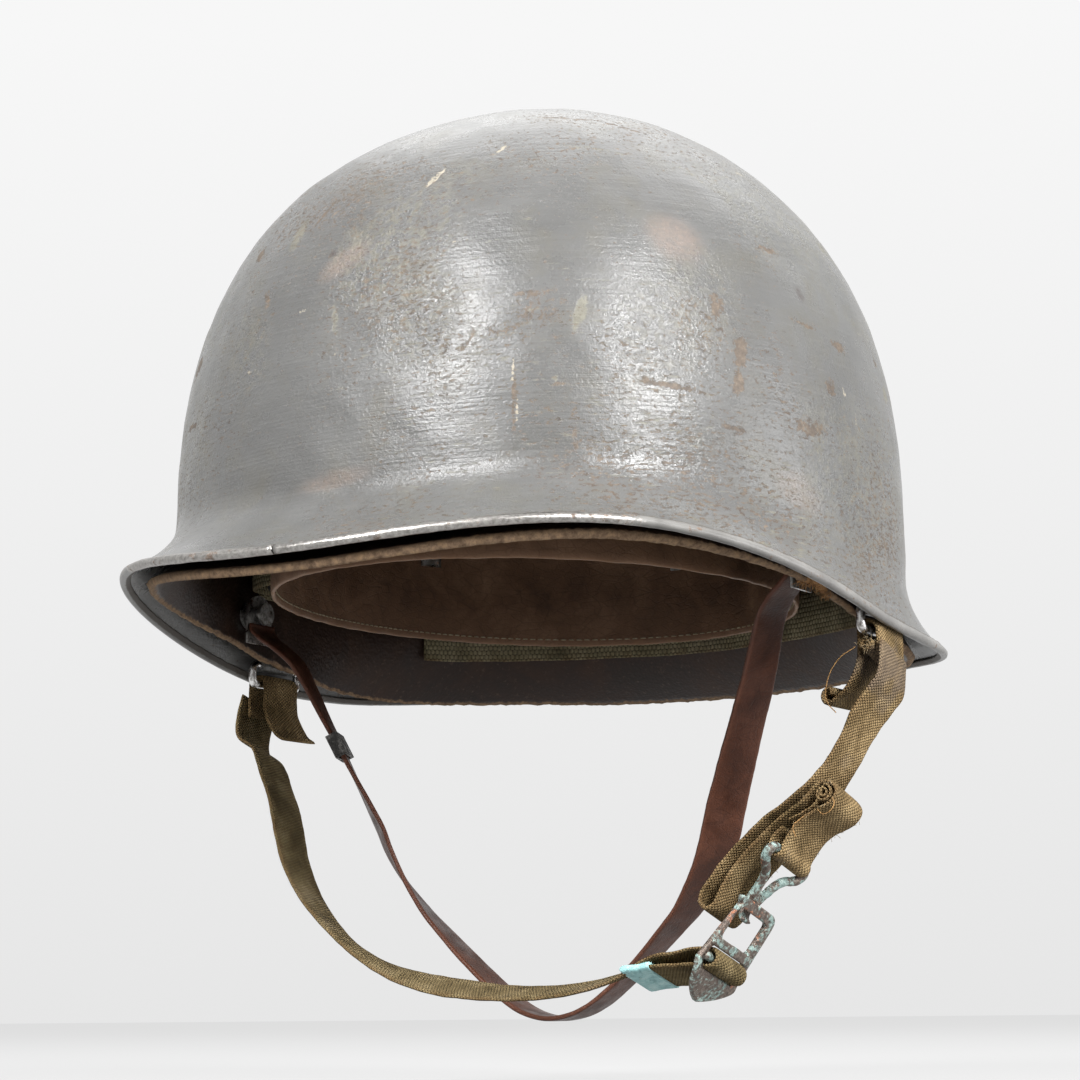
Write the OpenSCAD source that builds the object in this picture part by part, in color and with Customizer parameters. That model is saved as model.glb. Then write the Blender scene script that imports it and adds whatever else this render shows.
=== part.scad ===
/* [Steel shell] */
// Height of the dome above the lowest point of the rim
shell_h = 177; // [165:1:190]
// Width of the straight side walls, without the flare
shell_w = 229; // [215:1:245]
// Reach of the side walls from the dome's axis to the front
front_reach = 110; // [102:1:118]
// Reach of the side walls from the dome's axis to the back
rear_reach = 113.5; // [106:0.5:122]
// Thickness of the pressed sheet
shell_t = 1; // [0.8:0.1:1.4]
// Height up to which the side walls stand straight
straight_h = 40; // [34:1:48]
// Fullness of the dome's shoulder, seen from the side
shoulder_power = 2.26; // [2:0.02:2.6]
// Fullness of the dome's crown, seen from the side
crown_power = 2.43; // [2.1:0.02:2.8]
// Fullness of the dome's plan, 2 being an ellipse
plan_power = 2.22; // [2:0.02:2.6]
/* [Flare and rim] */
// Height over which the wall turns out into the flare
flare_h = 25; // [20:1:32]
// Reach of the visor beyond the front wall
visor_flare = 33; // [24:1:40]
// Reach of the flare at each side
side_flare = 5.4; // [4:0.2:8]
// Reach of the flare at the nape
rear_flare = 21.8; // [14:0.2:28]
// Height of the rim at the front corners above the sides
visor_rise = 21.3; // [12:0.1:28]
// How far the visor's middle dips below its corners
visor_dip = 5.2; // [0:0.2:9]
// Height of the rim at the nape above the sides
rear_rise = 4.5; // [0:0.5:9]
// Depth of the folded edge band
band_h = 3.2; // [2.4:0.1:4.5]
// Thickness of the edge band's own sheet
band_t = 0.7; // [0.5:0.05:1]
// Width of the gap where the edge band's ends meet in front
band_seam = 0.6; // [0.4:0.1:1.5]
/* [Liner] */
// Wall of the fibre liner
liner_t = 2.4; // [1.8:0.1:3]
// Gap between liner and shell at the crown
crown_gap = 0.7; // [0.6:0.1:1.2]
// Gap between liner and shell along the side walls
side_gap = 4.2; // [4:0.1:5]
// How far the liner's edge stays inside the rim, along the wall
liner_up = 5; // [3:0.5:9]
// Side flare that the liner leaves out beside the bails
liner_relief = 8; // [7:0.5:10]
// Radius of the front eyelet's hole
eyelet_r = 3; // [2:0.25:4]
// Height of the front eyelet above the rim's level
eyelet_z = 68; // [60:1:80]
/* [Suspension] */
// Distance from the sweatband's middle to the steel wall, in front
front_stand = 12; // [11:0.1:14]
// Distance from the sweatband's middle to the steel wall, behind
rear_stand = 15.5; // [14:0.1:19]
// Distance from the sweatband's middle to the steel wall, at the sides
side_stand = 36.5; // [34:0.5:42]
// Height of the leather sweatband
sweat_h = 34; // [28:1:40]
// Thickness of the sweatband's leather
sweat_t = 1.5; // [1:0.1:2.2]
// Height of the sweatband's lower edge
sweat_z = 18; // [14:1:24]
// Width of the suspension's webbing
web_w = 22; // [18:1:26]
// Thickness of the suspension's webbing
web_t = 1.2; // [1:0.1:1.6]
// Height of the rivets that hold the suspension
rivet_z = 40; // [36:1:46]
// Number of rivets round the liner
rivets = 6; // [5:1:7]
// Radius of the opening that the crown lace draws together
lace_r = 26; // [20:1:32]
// Diameter of the crown lace
lace_d = 3; // [2.4:0.1:3.4]
/* [Chin strap] */
// Width of the cotton chin strap
strap_w = 19; // [16:1:21]
// Thickness of the cotton chin strap
strap_t = 1.4; // [1:0.1:1.6]
// How far the strap leans forward on its way down, in degrees
strap_lean = 17; // [12:1:22]
// Diameter of the bail's wire
bail_d = 2.8; // [2.4:0.1:3]
// Inner width of the bail
bail_w = 22; // [21:0.5:26]
// Drop of the bail from its hinge to its bar
bail_drop = 7; // [7:0.1:9]
// Distance of the bails behind the dome's axis
bail_y = 9; // [7:0.5:12]
// Width of the buckle's frame
buckle_w = 25; // [24:0.5:28]
// Thickness of the buckle's frame
buckle_t = 1.8; // [1.4:0.1:2.2]
// Diameter of the hook's wire
hook_d = 2.4; // [2:0.1:2.6]
// Length of the brass tip on the strap's free end
tip_l = 14; // [10:0.5:18]
/* [Leather strap] */
// Width of the leather strap
leather_w = 13; // [11:0.5:16]
// Thickness of the leather strap
leather_t = 1.6; // [1.2:0.1:2]
// Radius of the stud that carries a strap end
stud_r = 2.2; // [1.8:0.1:2.6]
/* [Hidden] */
// Divisions of the pressed surfaces, and of round parts
around = 48;
rings = 20;
liner_rings = 17;
flare_rings = 7;
$fn = 32;
// Clearances: of a pin in its eye, of parts that lie on one another, and of webbing round a bar
pin_gap = 0.08;
seat_gap = 0.05;
web_gap = 0.3;
// How far the middle of a flat facet lies inside the true wall, and a chord's drop on the tightest wall
facet_gap = shell_w / 2 * (1 - cos(180 / around));
tight_r = 80;
function chord_drop(w) = w * w / (8 * tight_r);
// The wall rises out of the flare with this power
flare_power = 2.2;
// Angles from the front at which the rim starts and stops rising, and the visor's dip ends
rise_from = 37;
rise_to = 107;
tail_from = 111;
tail_to = 150;
dip_to = 37;

// Half axes of the ring that the sweatband's middle follows
head_side = shell_w / 2 - side_stand;
function head_reach(a) = cos(a) > 0 ? front_reach - front_stand : rear_reach - rear_stand;

// Vector and blending helpers
function unit(v) = v / norm(v);
function clamp01(t) = min(max(t, 0), 1);
function smooth(t) = clamp01(t) * clamp01(t) * (3 - 2 * clamp01(t));
function mix(a, b, t) = a + (b - a) * t;

// Pressed shape: a is the angle from the front, 90 being the wearer's left
function turn(a) = abs(a > 180 ? a - 360 : a);
function rim_z(a) =
    visor_rise * smooth((rise_to - turn(a)) / (rise_to - rise_from))
    + rear_rise * smooth((turn(a) - tail_from) / (tail_to - tail_from))
    - visor_dip * smooth((dip_to - turn(a)) / dip_to);
function reach(a) = cos(a) > 0 ? front_reach : rear_reach;
function plan_r(a) =
    pow(
        pow(abs(sin(a)) / (shell_w / 2), plan_power) + pow(abs(cos(a)) / reach(a), plan_power),
        -1 / plan_power);
function flare(a) =
    side_flare
    + (visor_flare - side_flare) * pow(max(cos(a), 0), 2.27)
    + (rear_flare - side_flare) * pow(max(-cos(a), 0), 1.17);
function dome_part(z) = clamp01((z - straight_h) / (shell_h - straight_h));
function dome_r(a, z) = plan_r(a) * pow(max(1 - pow(dome_part(z), crown_power), 0), 1 / shoulder_power);
function flare_part(a, z) = pow(max(rim_z(a) + flare_h - z, 0) / flare_h, flare_power);
function wall_r(a, z, less) = dome_r(a, z) + max(flare(a) - less * (1 - abs(cos(a))), 0) * flare_part(a, z);
function on_wall(a, z, less) = [wall_r(a, z, less) * sin(a), -wall_r(a, z, less) * cos(a), z];
// Outward normal of the wall at a level, and a point that lies deeper than the outer face
function wall_normal(a, z, less) =
    z > shell_h - 0.02
    ? [0, 0, 1]
    : unit(cross(
        on_wall(a + 0.5, z, less) - on_wall(a - 0.5, z, less),
        on_wall(a, z + 0.01, less) - on_wall(a, z - 0.01, less)));
function inside(a, z, less, deep) = on_wall(a, z, less) - deep * wall_normal(a, z, less);

// Rows of a pressed sheet: from the crown down to the flare's top, down the flare to a knee, and the edge
function edge_level(a, up) = rim_z(a) + up / norm([1, flare(a) * flare_power / flare_h]);
function row_z(a, i, n, up, knee) =
    let (top = rim_z(a) + flare_h, dome = n - 1 - flare_rings)
    i == n ? edge_level(a, up)
    : i > dome ? mix(top, edge_level(a, knee), (i - dome) / flare_rings)
    : shell_h - (shell_h - top) * (1 - cos(90 * i / dome));
function sheet_rows(up, knee, less, crown, side, n) = [
    for (i = [1:n]) [
        for (k = [0:around - 1]) let (a = k * 360 / around, z = row_z(a, i, n, up, knee))
        inside(a, z, less, mix(side, crown, smooth(dome_part(z))))
    ]
];

// Closed skin through rows of points: first row open at its inner end, last row too
function quad_strip(from, to, n, closed) = [
    for (k = [0:closed ? n - 1 : n - 2]) let (m = (k + 1) % n)
    each [[from + k, from + m, to + m], [from + k, to + m, to + k]]
];
module pressed_sheet(up, knee, less, crown, side, t, n) {
    outer = sheet_rows(up, knee, less, crown, side, n);
    inner = sheet_rows(up, knee, less, crown + t, side + t, n);
    tops = [[0, 0, shell_h - crown], [0, 0, shell_h - crown - t]];
    points = concat([for (r = outer) each r], [for (r = inner) each r], tops);
    in0 = n * around;
    crown_out = 2 * in0;
    crown_in = crown_out + 1;
    faces = concat(
        [for (k = [0:around - 1]) [crown_out, k, (k + 1) % around]],
        [for (i = [0:n - 2]) each quad_strip((i + 1) * around, i * around, around, true)],
        [for (k = [0:around - 1]) [crown_in, in0 + (k + 1) % around, in0 + k]],
        [for (i = [0:n - 2]) each quad_strip(in0 + i * around, in0 + (i + 1) * around, around, true)],
        quad_strip(in0 + (n - 1) * around, (n - 1) * around, around, true));
    polyhedron(points, [for (f = faces) [f[2], f[1], f[0]]]);
}

// Ribbon of webbing or leather along a route. wide[i] points across it, and its length scales the width.
function last(v) = len(v) - 1;
function along(p, i, closed) =
    closed
    ? unit(p[(i + 1) % len(p)] - p[(i + len(p) - 1) % len(p)])
    : unit(p[min(i + 1, last(p))] - p[max(i - 1, 0)]);
function leg_in(p, i) = unit(p[i] - p[max(i - 1, 0)]);
function leg_out(p, i) = unit(p[min(i + 1, last(p))] - p[i]);
function miter(p, i, closed) =
    closed || i == 0 || i == last(p) ? 1 : 1 / sqrt((1 + leg_in(p, i) * leg_out(p, i)) / 2);
function cross_section(p, wide, i, w, t, closed) =
    let (
        a = along(p, i, closed),
        n = unit(cross(wide[i], a)),
        across = unit(cross(a, n)) * w / 2 * norm(wide[i]),
        thick = n * t / 2 * miter(p, i, closed)
    )
    [p[i] - across - thick, p[i] + across - thick, p[i] + across + thick, p[i] - across + thick];
module ribbon(p, wide, w, t, closed = false) {
    n = len(p);
    points = [for (i = [0:n - 1]) each cross_section(p, wide, i, w, t, closed)];
    sides = [for (i = [0:closed ? n - 1 : n - 2]) each quad_strip(4 * i, 4 * ((i + 1) % n), 4, true)];
    end = 4 * n - 4;
    caps = closed ? [] : [[0, 3, 2], [0, 2, 1], [end, end + 1, end + 2], [end, end + 2, end + 3]];
    polyhedron(points, concat(sides, caps));
}

// Flat ribbon whose route lies in one plane, so that it is a plain extrusion
function normal2(p, i) = let (a = along(p, i, false)) [-a[1], a[0]];
module flat_ribbon(p, w, t) {
    n = last(p);
    side = [for (i = [0:n]) p[i] + normal2(p, i) * t / 2 * miter(p, i, false)];
    back = [for (i = [n:-1:0]) p[i] - normal2(p, i) * t / 2 * miter(p, i, false)];
    linear_extrude(w, center = true) polygon(concat(side, back));
}
// Puts a plan drawn in x and z on its feet, centred on the plane y = 0
module stand() {
    rotate([90, 0, 0]) children();
}
// Tilts what is drawn about the bail bars' level into the plane in which the chin strap hangs
module lean() {
    translate([0, bail_y, bar_z])
        rotate([-strap_lean, 0, 0])
        children();
}
// Bails: hinge and bar, worked out from the wall that carries the lug
bail_a = 90 + atan(bail_y / (shell_w / 2));
hinge_z = 8;
bar_z = hinge_z - bail_drop;
barrel_r = bail_d / 2 + pin_gap + 0.85;
lug_t = 1;
lug_w = 18;
lug_deep = shell_t + 0.15 + facet_gap;
lug_in = inside(bail_a, hinge_z, 0, lug_deep + lug_t)[0];
hinge_x = lug_in + 0.4 - barrel_r;

module bail_lug() {
    // The plate follows the wall; the barrel is rolled from its middle
    a0 = bail_a - atan(lug_w / shell_w);
    a1 = bail_a + atan(lug_w / shell_w);
    angles = [a0, mix(a0, a1, 0.25), bail_a, mix(a0, a1, 0.75), a1];
    levels = [hinge_z - 1.1, hinge_z + 1, hinge_z + 4, hinge_z + 8];
    rows = [for (z = levels) each [for (a = angles) inside(a, z, 0, lug_deep)]];
    deep = [for (z = levels) each [for (a = angles) inside(a, z, 0, lug_deep + lug_t)]];
    n = len(angles);
    m = len(levels);
    off = n * m;
    faces = concat(
        [for (j = [0:m - 2]) each quad_strip(j * n, (j + 1) * n, n, false)],
        [for (j = [0:m - 2]) each quad_strip(off + (j + 1) * n, off + j * n, n, false)],
        [for (i = [0:n - 2]) each [[i, off + i, off + i + 1], [i, off + i + 1, i + 1]]],
        [
            for (i = [0:n - 2]) let (b = (m - 1) * n + i)
            each [[b, b + 1, off + b + 1], [b, off + b + 1, off + b]]
        ],
        [for (j = [0:m - 2]) let (b = j * n) each [[b, b + n, off + b + n], [b, off + b + n, off + b]]],
        [
            for (j = [0:m - 2]) let (b = j * n + n - 1)
            each [[b, off + b, off + b + n], [b, off + b + n, b + n]]
        ]);
    difference() {
        union() {
            polyhedron(concat(rows, deep), [for (f = faces) [f[2], f[1], f[0]]]);
            translate([hinge_x, bail_y, hinge_z])
                rotate([90, 0, 0])
                cylinder(r = barrel_r, h = lug_w - 1, center = true);
        }
        translate([hinge_x, bail_y, hinge_z])
            rotate([90, 0, 0])
            cylinder(r = bail_d / 2 + pin_gap, h = lug_w + 4, center = true);
    }
}
// Closed loop of wire in the XY plane, its corners given anticlockwise
module wire_loop(corners, d, bend) {
    n = len(corners);
    for (i = [0:n - 1]) {
        p = corners[i];
        q = corners[(i + 1) % n];
        before = unit(p - corners[(i + n - 1) % n]);
        run = unit(q - p);
        after = unit(corners[(i + 2) % n] - q);
        cut = bend * tan(acos(before * run) / 2);
        end_cut = bend * tan(acos(run * after) / 2);
        heading = atan2(run[1], run[0]);
        translate(p + run * cut)
            rotate([0, 0, heading])
            rotate([0, 90, 0])
            cylinder(d = d, h = norm(q - p) - cut - end_cut);
        translate(q - run * end_cut + bend * [-run[1], run[0]])
            rotate([0, 0, heading - 90])
            rotate_extrude(angle = acos(run * after))
            translate([bend, 0])
            circle(d = d);
    }
}
bail_bend = 2.2;
module bail() {
    half = (bail_w + bail_d) / 2;
    translate([hinge_x, bail_y, hinge_z])
        stand_across()
        wire_loop([[-half, -bail_drop], [half, -bail_drop], [half, 0], [-half, 0]], bail_d, bail_bend);
}
// Puts a plan drawn in y and z on its feet in the plane x = 0
module stand_across() {
    rotate([90, 0, 90]) children();
}

// Chin strap: routes in x and in the distance below the bail bar, in the plane in which the strap hangs.
// The loops and the left strap count x from the bail bar, the right strap from the helmet's middle.
hang = strap_t + 0.4;
// How far the routes under the chin spread with the shell
spread = shell_w / 229;
loop_route = [
    [-10.5, -19.5], [-7.5, -17.5], [-4.4, -13], [-2.6, -8.5], [-2.4, -4], [-2.4, 0.2], [-1.9, 1.6],
    [-0.6, 2.7], [1.1, 2.9], [2.7, 2.1], [3.6, 0.6], [3.7, -1], [3.7, -5], [3.7, -11]
];
left_route = [
    [3.7 + hang, -6], [3.7 + hang, -17.8], [3, -21.6], [-1.6, -28.6], [-4.8, -36.2], [-8.6, -43.6],
    [-13.4, -50.4], [-20.4, -56.4], [-28.6, -63], [-36.6, -71.4], [-42.2, -79.4], [-44.6, -83.4],
    [-44.6, -86.6], [-42.4, -88.3], [-40, -86.8], [-38.6, -83.2], [-36.4, -78.8], [-33.2, -73.8],
    [-26.4, -66], [-18.8, -59.2], [-14.8, -56.2], [-12.3, -53.2], [-9.6, -50.6], [-6.4, -51],
    [-4.3, -53.6], [-5.6, -56.8], [-9.6, -59.2], [-13.4, -61.2], [-16, -63.6], [-17.9, -66.6]
];
hook_at = [-21.6, -70.6];
hook_wrap = hook_d / 2 + web_gap + 0.15 + strap_t / 2;
left_end = concat(
    left_route,
    [for (a = [20:-34:-184]) hook_at + hook_wrap * [cos(a), sin(a)]],
    [for (q = [[-1.5, 3.6], [1.6, 6.6]]) hook_at + q]);
chin_route = [
    [-110.5, -26], [-105, -35], [-99.5, -44], [-95.5, -53], [-91.5, -62], [-86, -71], [-78, -80.5],
    [-67, -90], [-54, -98], [-39, -104], [-22, -108], [-5, -110.2], [12, -110.6], [28, -109], [42, -105.6],
    [54, -102.6], [62, -100.6]
];
// The free end runs on from the buckle, at these distances from its bar
free_steps = [[-11.2, -7.9], [-19.2, -9.9], [-27.2, -11.9], [-35.2, -13.9]];
bar_at = [hinge_x - 38.3, -96.5];
bar_r = 1.3;
buckle_turn = 36;
buckle_wrap = bar_r + web_gap + strap_t / 2;
// A point given along the buckle, downwards, and out of it
function by_buckle(q) =
    bar_at
    + q[0] * [-sin(buckle_turn), -cos(buckle_turn)]
    + q[1] * [cos(buckle_turn), -sin(buckle_turn)];
right_x = hinge_x + 3.7 + hang;
right_route = concat(
    [[-right_x, -6], [-right_x, -17.8], [1.6 - right_x, -21.6]],
    [for (p = chin_route) [p[0] * spread, p[1]]],
    [for (q = [[8, -5.4], [3, -5], [0.4, -4]]) by_buckle(q)],
    [for (a = [215:-35:5]) by_buckle(buckle_wrap * [cos(a), sin(a)])],
    [for (q = [[2.7, -0.6], [4.4, -1.9], [8, -2.8]]) by_buckle(q)],
    [for (p = free_steps) bar_at + p]);

module left_loop_form() {
    translate([0, bail_y, 0])
        stand()
        flat_ribbon([for (p = loop_route) [hinge_x + p[0], bar_z + p[1]]], strap_w, strap_t);
}
// Hook: bar, two legs and a shank that passes inside the buckle's top bar and turns out below it
top_bar = 3;
frame_l = 12.6;
slot_l = 5;
leaf_l = 12;
top_bar_at = by_buckle([-frame_l, 0]);
hook_lean = atan2(hinge_x + hook_at[0] - top_bar_at[0], hook_at[1] - top_bar_at[1]);
shank_in = 2.7;
shank_w = 5;
hook_end = 22.4;
hook_half = strap_w / 2 + 2.1;
hook_leg = 5.4;
hook_apex = 14.2;
hook_t = hook_d * 0.8;
module hook_form() {
    // A stirrup on the strap's end carries the flat shank, whose end turns out under the top bar
    rotate([90, 0, 0]) cylinder(d = hook_d, h = 2 * hook_half + hook_t, center = true);
    rotate([0, atan(shank_in / hook_apex), 0])
        stand_across()
        flat_ribbon(
            [
                [-hook_half, 0], [-hook_half, -hook_leg], [0, -hook_apex], [hook_half, -hook_leg],
                [hook_half, 0]
            ],
            hook_t, hook_t);
    stand() flat_ribbon(
        [[-shank_in, 0.6 - hook_apex], [-shank_in, 2.2 - hook_end], [-1.9, 0.5 - hook_end], [-0.4, -hook_end]],
        shank_w, hook_t - 0.1);
}
// Buckle: frame with a window, a round bar for the webbing, a slot and a leaf-shaped thumb plate
module buckle_form() {
    top = -frame_l - top_bar / 2;
    stand_flat() {
        linear_extrude(buckle_t, center = true) {
            difference() {
                union() {
                    translate([-buckle_w / 2, top + 2]) square([buckle_w, slot_l - top - 2.5]);
                    for (side = [-1, 1]) translate([side * (buckle_w / 2 - 2), top + 2]) circle(r = 2);
                    translate([-buckle_w / 2 + 2, top]) square([buckle_w - 4, 4]);
                    translate([0, slot_l]) thumb_leaf();
                }
                window_w = strap_w + 1.4;
                translate([-window_w / 2, top + top_bar]) square([window_w, slot_l - 0.4 - top - top_bar]);
            }
        }
        rotate([0, 90, 0]) cylinder(r = bar_r, h = buckle_w - 1, center = true);
    }
}
module thumb_leaf() {
    // Two arcs meet at a point
    w = buckle_w / 2;
    r = (w * w + leaf_l * leaf_l) / (2 * w);
    intersection() {
        translate([w - r, 0]) circle(r = r);
        translate([r - w, 0]) circle(r = r);
        translate([-w, -1]) square([2 * w, leaf_l + 1]);
    }
}
module stand_flat() {
    // Across the strap is Y, along the buckle is -Z
    rotate([0, 0, 90]) rotate([-90, 0, 0]) children();
}

module steel_shell() {
    color("dimgray") pressed_sheet(edge_lift, band_h, 0, 0, 0, shell_t, rings);
}

// Folded edge band: a channel that grips the rim, with its ends meeting in front
band_gap = 0.15;
edge_lift = band_t + band_gap;
band_profile = let (g = band_gap, t = band_t, w = shell_t, h = band_h) [
    [0, w + g + t], [0, -g - t], [h, -g - t], [h, -g], [t, -g], [t, w + g], [h, w + g], [h, w + g + t]
];
module rim_band() {
    gap_a = atan(band_seam / 2 / (front_reach + visor_flare));
    angles = [gap_a, for (k = [1:around - 1]) k * 360 / around, 360 - gap_a];
    m = len(band_profile);
    points = [for (a = angles) each [for (q = band_profile) inside(a, edge_level(a, q[0]), 0, q[1])]];
    n = len(angles);
    sides = [for (i = [0:n - 2]) each quad_strip(m * i, m * (i + 1), m, true)];
    cap = [[0, 2, 1], [0, 3, 2], [0, 4, 3], [0, 5, 4], [0, 7, 5], [5, 7, 6]];
    ends = concat(cap, [for (f = cap) [for (v = [f[2], f[1], f[0]]) v + m * (n - 1)]]);
    color("silver") polyhedron(points, concat(sides, ends));
}

module left_bail_lug() {
    color("dimgray") bail_lug();
}
module right_bail_lug() {
    color("dimgray") mirror([1, 0, 0]) bail_lug();
}
module left_bail() {
    color("silver") bail();
}
module right_bail() {
    color("silver") mirror([1, 0, 0]) bail();
}

// Chin strap nodes
module left_strap_loop() {
    color("darkkhaki") left_loop_form();
}
module right_strap_loop() {
    color("darkkhaki") mirror([1, 0, 0]) left_loop_form();
}
module left_web_strap() {
    color("darkkhaki")
        lean()
        stand()
        flat_ribbon([for (p = left_end) [hinge_x + p[0], p[1]]], strap_w, strap_t);
}
module right_web_strap() {
    color("darkkhaki") lean() stand() flat_ribbon(right_route, strap_w, strap_t);
}
module strap_tip() {
    // A sheet cap folded over the free end
    n = last(right_route);
    d = unit(right_route[n] - right_route[n - 1]);
    g = seat_gap;
    sheet = 0.6;
    outer = [tip_l, strap_w + 2 * (g + sheet), strap_t + 2 * (g + sheet)];
    color("mediumaquamarine")
        lean()
        translate([right_route[n][0], 0, right_route[n][1]])
        rotate([0, -atan2(d[1], d[0]), 0])
        difference() {
            translate([sheet + g - outer[0] / 2, 0, 0]) cube(outer, center = true);
            translate([-outer[0], -strap_w / 2 - g, -strap_t / 2 - g])
                cube([outer[0] + g, strap_w + 2 * g, strap_t + 2 * g]);
        }
}
module strap_hook() {
    color("cadetblue")
        lean()
        translate([hinge_x + hook_at[0], 0, hook_at[1]])
        rotate([0, hook_lean, 0])
        hook_form();
}
module strap_buckle() {
    color("cadetblue") lean() translate([bar_at[0], 0, bar_at[1]]) rotate([0, buckle_turn, 0]) buckle_form();
}

module liner_shell() {
    color("saddlebrown")
        pressed_sheet(
            liner_up, liner_up + 3, liner_relief,
            shell_t + crown_gap, shell_t + side_gap, liner_t, liner_rings);
}

// Places its children at the wall, with X pointing out of it and Z up
module at_wall(a, z, deep) {
    n = wall_normal(a, z, liner_relief);
    translate(inside(a, z, liner_relief, deep)) rotate([0, -asin(n[2]), atan2(n[1], n[0])]) children();
}
liner_out = shell_t + side_gap;
liner_in = liner_out + liner_t;
module front_eyelet() {
    // A flanged ring through the liner's front hole
    color("dimgray")
        at_wall(0, eyelet_z, liner_in + eyelet_t + facet_gap)
        rotate([0, 90, 0])
        difference() {
            cylinder(r = eyelet_r + 2.5, h = eyelet_t);
            translate([0, 0, -1]) cylinder(r = eyelet_r, h = eyelet_t + 2);
        }
}
eyelet_t = 1.1;

// Headband webbing: tight against the wall at each rivet, standing in to the sweatband between them
function rivet_a(i) = (i + 0.5) * 360 / rivets;
function off_rivet(a) = abs((a % (360 / rivets)) - 180 / rivets);
function at_rivet(a) = 1 - smooth((off_rivet(a) - 8) / 16);
// Foot of the wall's top edge behind the webbing, where it stands furthest in
web_top = rivet_z + web_w / 2;
function web_point(a, deep) = inside(a, web_top, liner_relief, deep);
function head_at(a, out) =
    let (r = 1 / norm([sin(a) / head_side, cos(a) / head_reach(a)]) + out)
    [r * sin(a), -r * cos(a)];
leg_deep = liner_in + web_gap + chord_drop(web_w) + web_t / 2;
band_deep = leg_deep + web_t + seat_gap;
band_stations = 72;
function band_point(a) =
    let (w = web_point(a, band_deep), h = head_at(a, sweat_t / 2 + web_gap + web_t / 2))
    [mix(h[0], w[0], at_rivet(a)), mix(h[1], w[1], at_rivet(a)), rivet_z];
module headband_web() {
    p = [for (k = [0:band_stations - 1]) band_point(k * 360 / band_stations)];
    color("tan") ribbon(p, [for (q = p) [0, 0, 1]], web_w - 2, web_t, true);
}
// Suspension: webs rise from the rivets and end in loops round the crown lace
lace_z = shell_h - 27;
// The webs narrow towards the lace, whose curve drops this far within their width
loop_share = 0.55;
loop_drop = lace_r - sqrt(lace_r * lace_r - pow(web_w * loop_share / 2, 2));
function leg_route(a) =
    let (
        foot = web_point(a, leg_deep),
        r0 = norm([foot[0], foot[1]]),
        wrap = lace_d / 2 + web_gap + loop_drop + web_t / 2,
        top = lace_z + wrap,
        rise = [
            for (t = [0:9:81])
            [lace_r + (r0 - lace_r) * pow(cos(t), 0.9), web_top + (top - web_top) * sin(t)]
        ],
        turn_in = [for (t = [90:-30:-90]) [lace_r - wrap * cos(t), lace_z + wrap * sin(t)]],
        tail = [[lace_r + 8, lace_z - wrap - 0.6], [lace_r + 16, lace_z - wrap - 1.6]]
    )
    [
        for (q = concat([[r0, rivet_z - web_w / 2]], rise, turn_in, tail))
        [q[0] * sin(a), -q[0] * cos(a), q[1]]
    ];
module suspension_webs() {
    color("tan")
        for (i = [0:rivets - 1]) {
            p = leg_route(rivet_a(i));
            n = wall_normal(rivet_a(i), web_top, liner_relief);
            by_wall = [-n[1], n[0], 0];
            by_lace = [cos(rivet_a(i)), sin(rivet_a(i)), 0];
            wide = [
                for (q = p)
                let (rise = smooth((q[2] - rivet_z - 40) / (lace_z - rivet_z - 50)))
                unit(mix(by_wall, by_lace, rise)) * mix(1, loop_share, rise)
            ];
            ribbon(p, wide, web_w, web_t);
        }
}
module crown_lace() {
    color("saddlebrown")
        translate([0, 0, lace_z])
        rotate_extrude()
        translate([lace_r, 0])
        circle(d = lace_d);
}
// Rivets: outer heads under the steel, inner heads over the washers, and the neckband's smaller ones
rivet_r = 4.5;
rivet_in_r = 3.2;
neck_rivet_r = 3.6;
rivet_h = 1.4;
module rivet_head(r, h) {
    // A low domed head that points along X
    rotate([0, 90, 0]) cylinder(r = r, h = h * 0.5);
    rotate([0, 90, 0]) translate([0, 0, h * 0.5]) cylinder(r1 = r, r2 = r * 0.6, h = h * 0.5);
}
washer_t = 0.8;
washer_w = 20;
washer_h = 17;
washer_deep = band_deep + web_t / 2 + seat_gap + chord_drop(washer_w);
// Places its children at level z on webbing whose top edge is near the wall; X points out to the wall
module at_web(a, top, z, deep) {
    q = inside(a, top, liner_relief, deep);
    n = wall_normal(a, top, liner_relief);
    translate([q[0], q[1], z]) rotate([0, 0, atan2(n[1], n[0])]) children();
}
module web_rivets() {
    color("dimgray")
        for (i = [0:rivets - 1]) {
            at_wall(rivet_a(i), rivet_z, liner_out)
                translate([web_gap + facet_gap, 0, 0])
                rivet_head(rivet_r, rivet_h);
            at_web(rivet_a(i), web_top, rivet_z, washer_deep + washer_t + seat_gap)
                mirror([1, 0, 0])
                rivet_head(rivet_in_r, 1.2);
        }
}
module rivet_washers() {
    // Triangular washers with rounded corners
    w = washer_w;
    h = washer_h;
    color("dimgray")
        for (i = [0:rivets - 1]) {
            at_web(rivet_a(i), web_top, rivet_z, washer_deep)
                rotate([90, 0, -90])
                linear_extrude(washer_t)
                polygon([
                    [-w / 2, -h / 2 + 1], [-w / 2 + 1, -h / 2], [w / 2 - 1, -h / 2], [w / 2, -h / 2 + 1],
                    [2, h / 2 - 0.6], [0.8, h / 2], [-0.8, h / 2], [-2, h / 2 - 0.6]
                ]);
        }
}
module sweatband() {
    z = sweat_z + sweat_h / 2;
    p = [for (k = [0:around - 1]) let (h = head_at(k * 360 / around, 0)) [h[0], h[1], z]];
    color("sienna") ribbon(p, [for (q = p) [0, 0, 1]], sweat_h, sweat_t, true);
}
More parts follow.
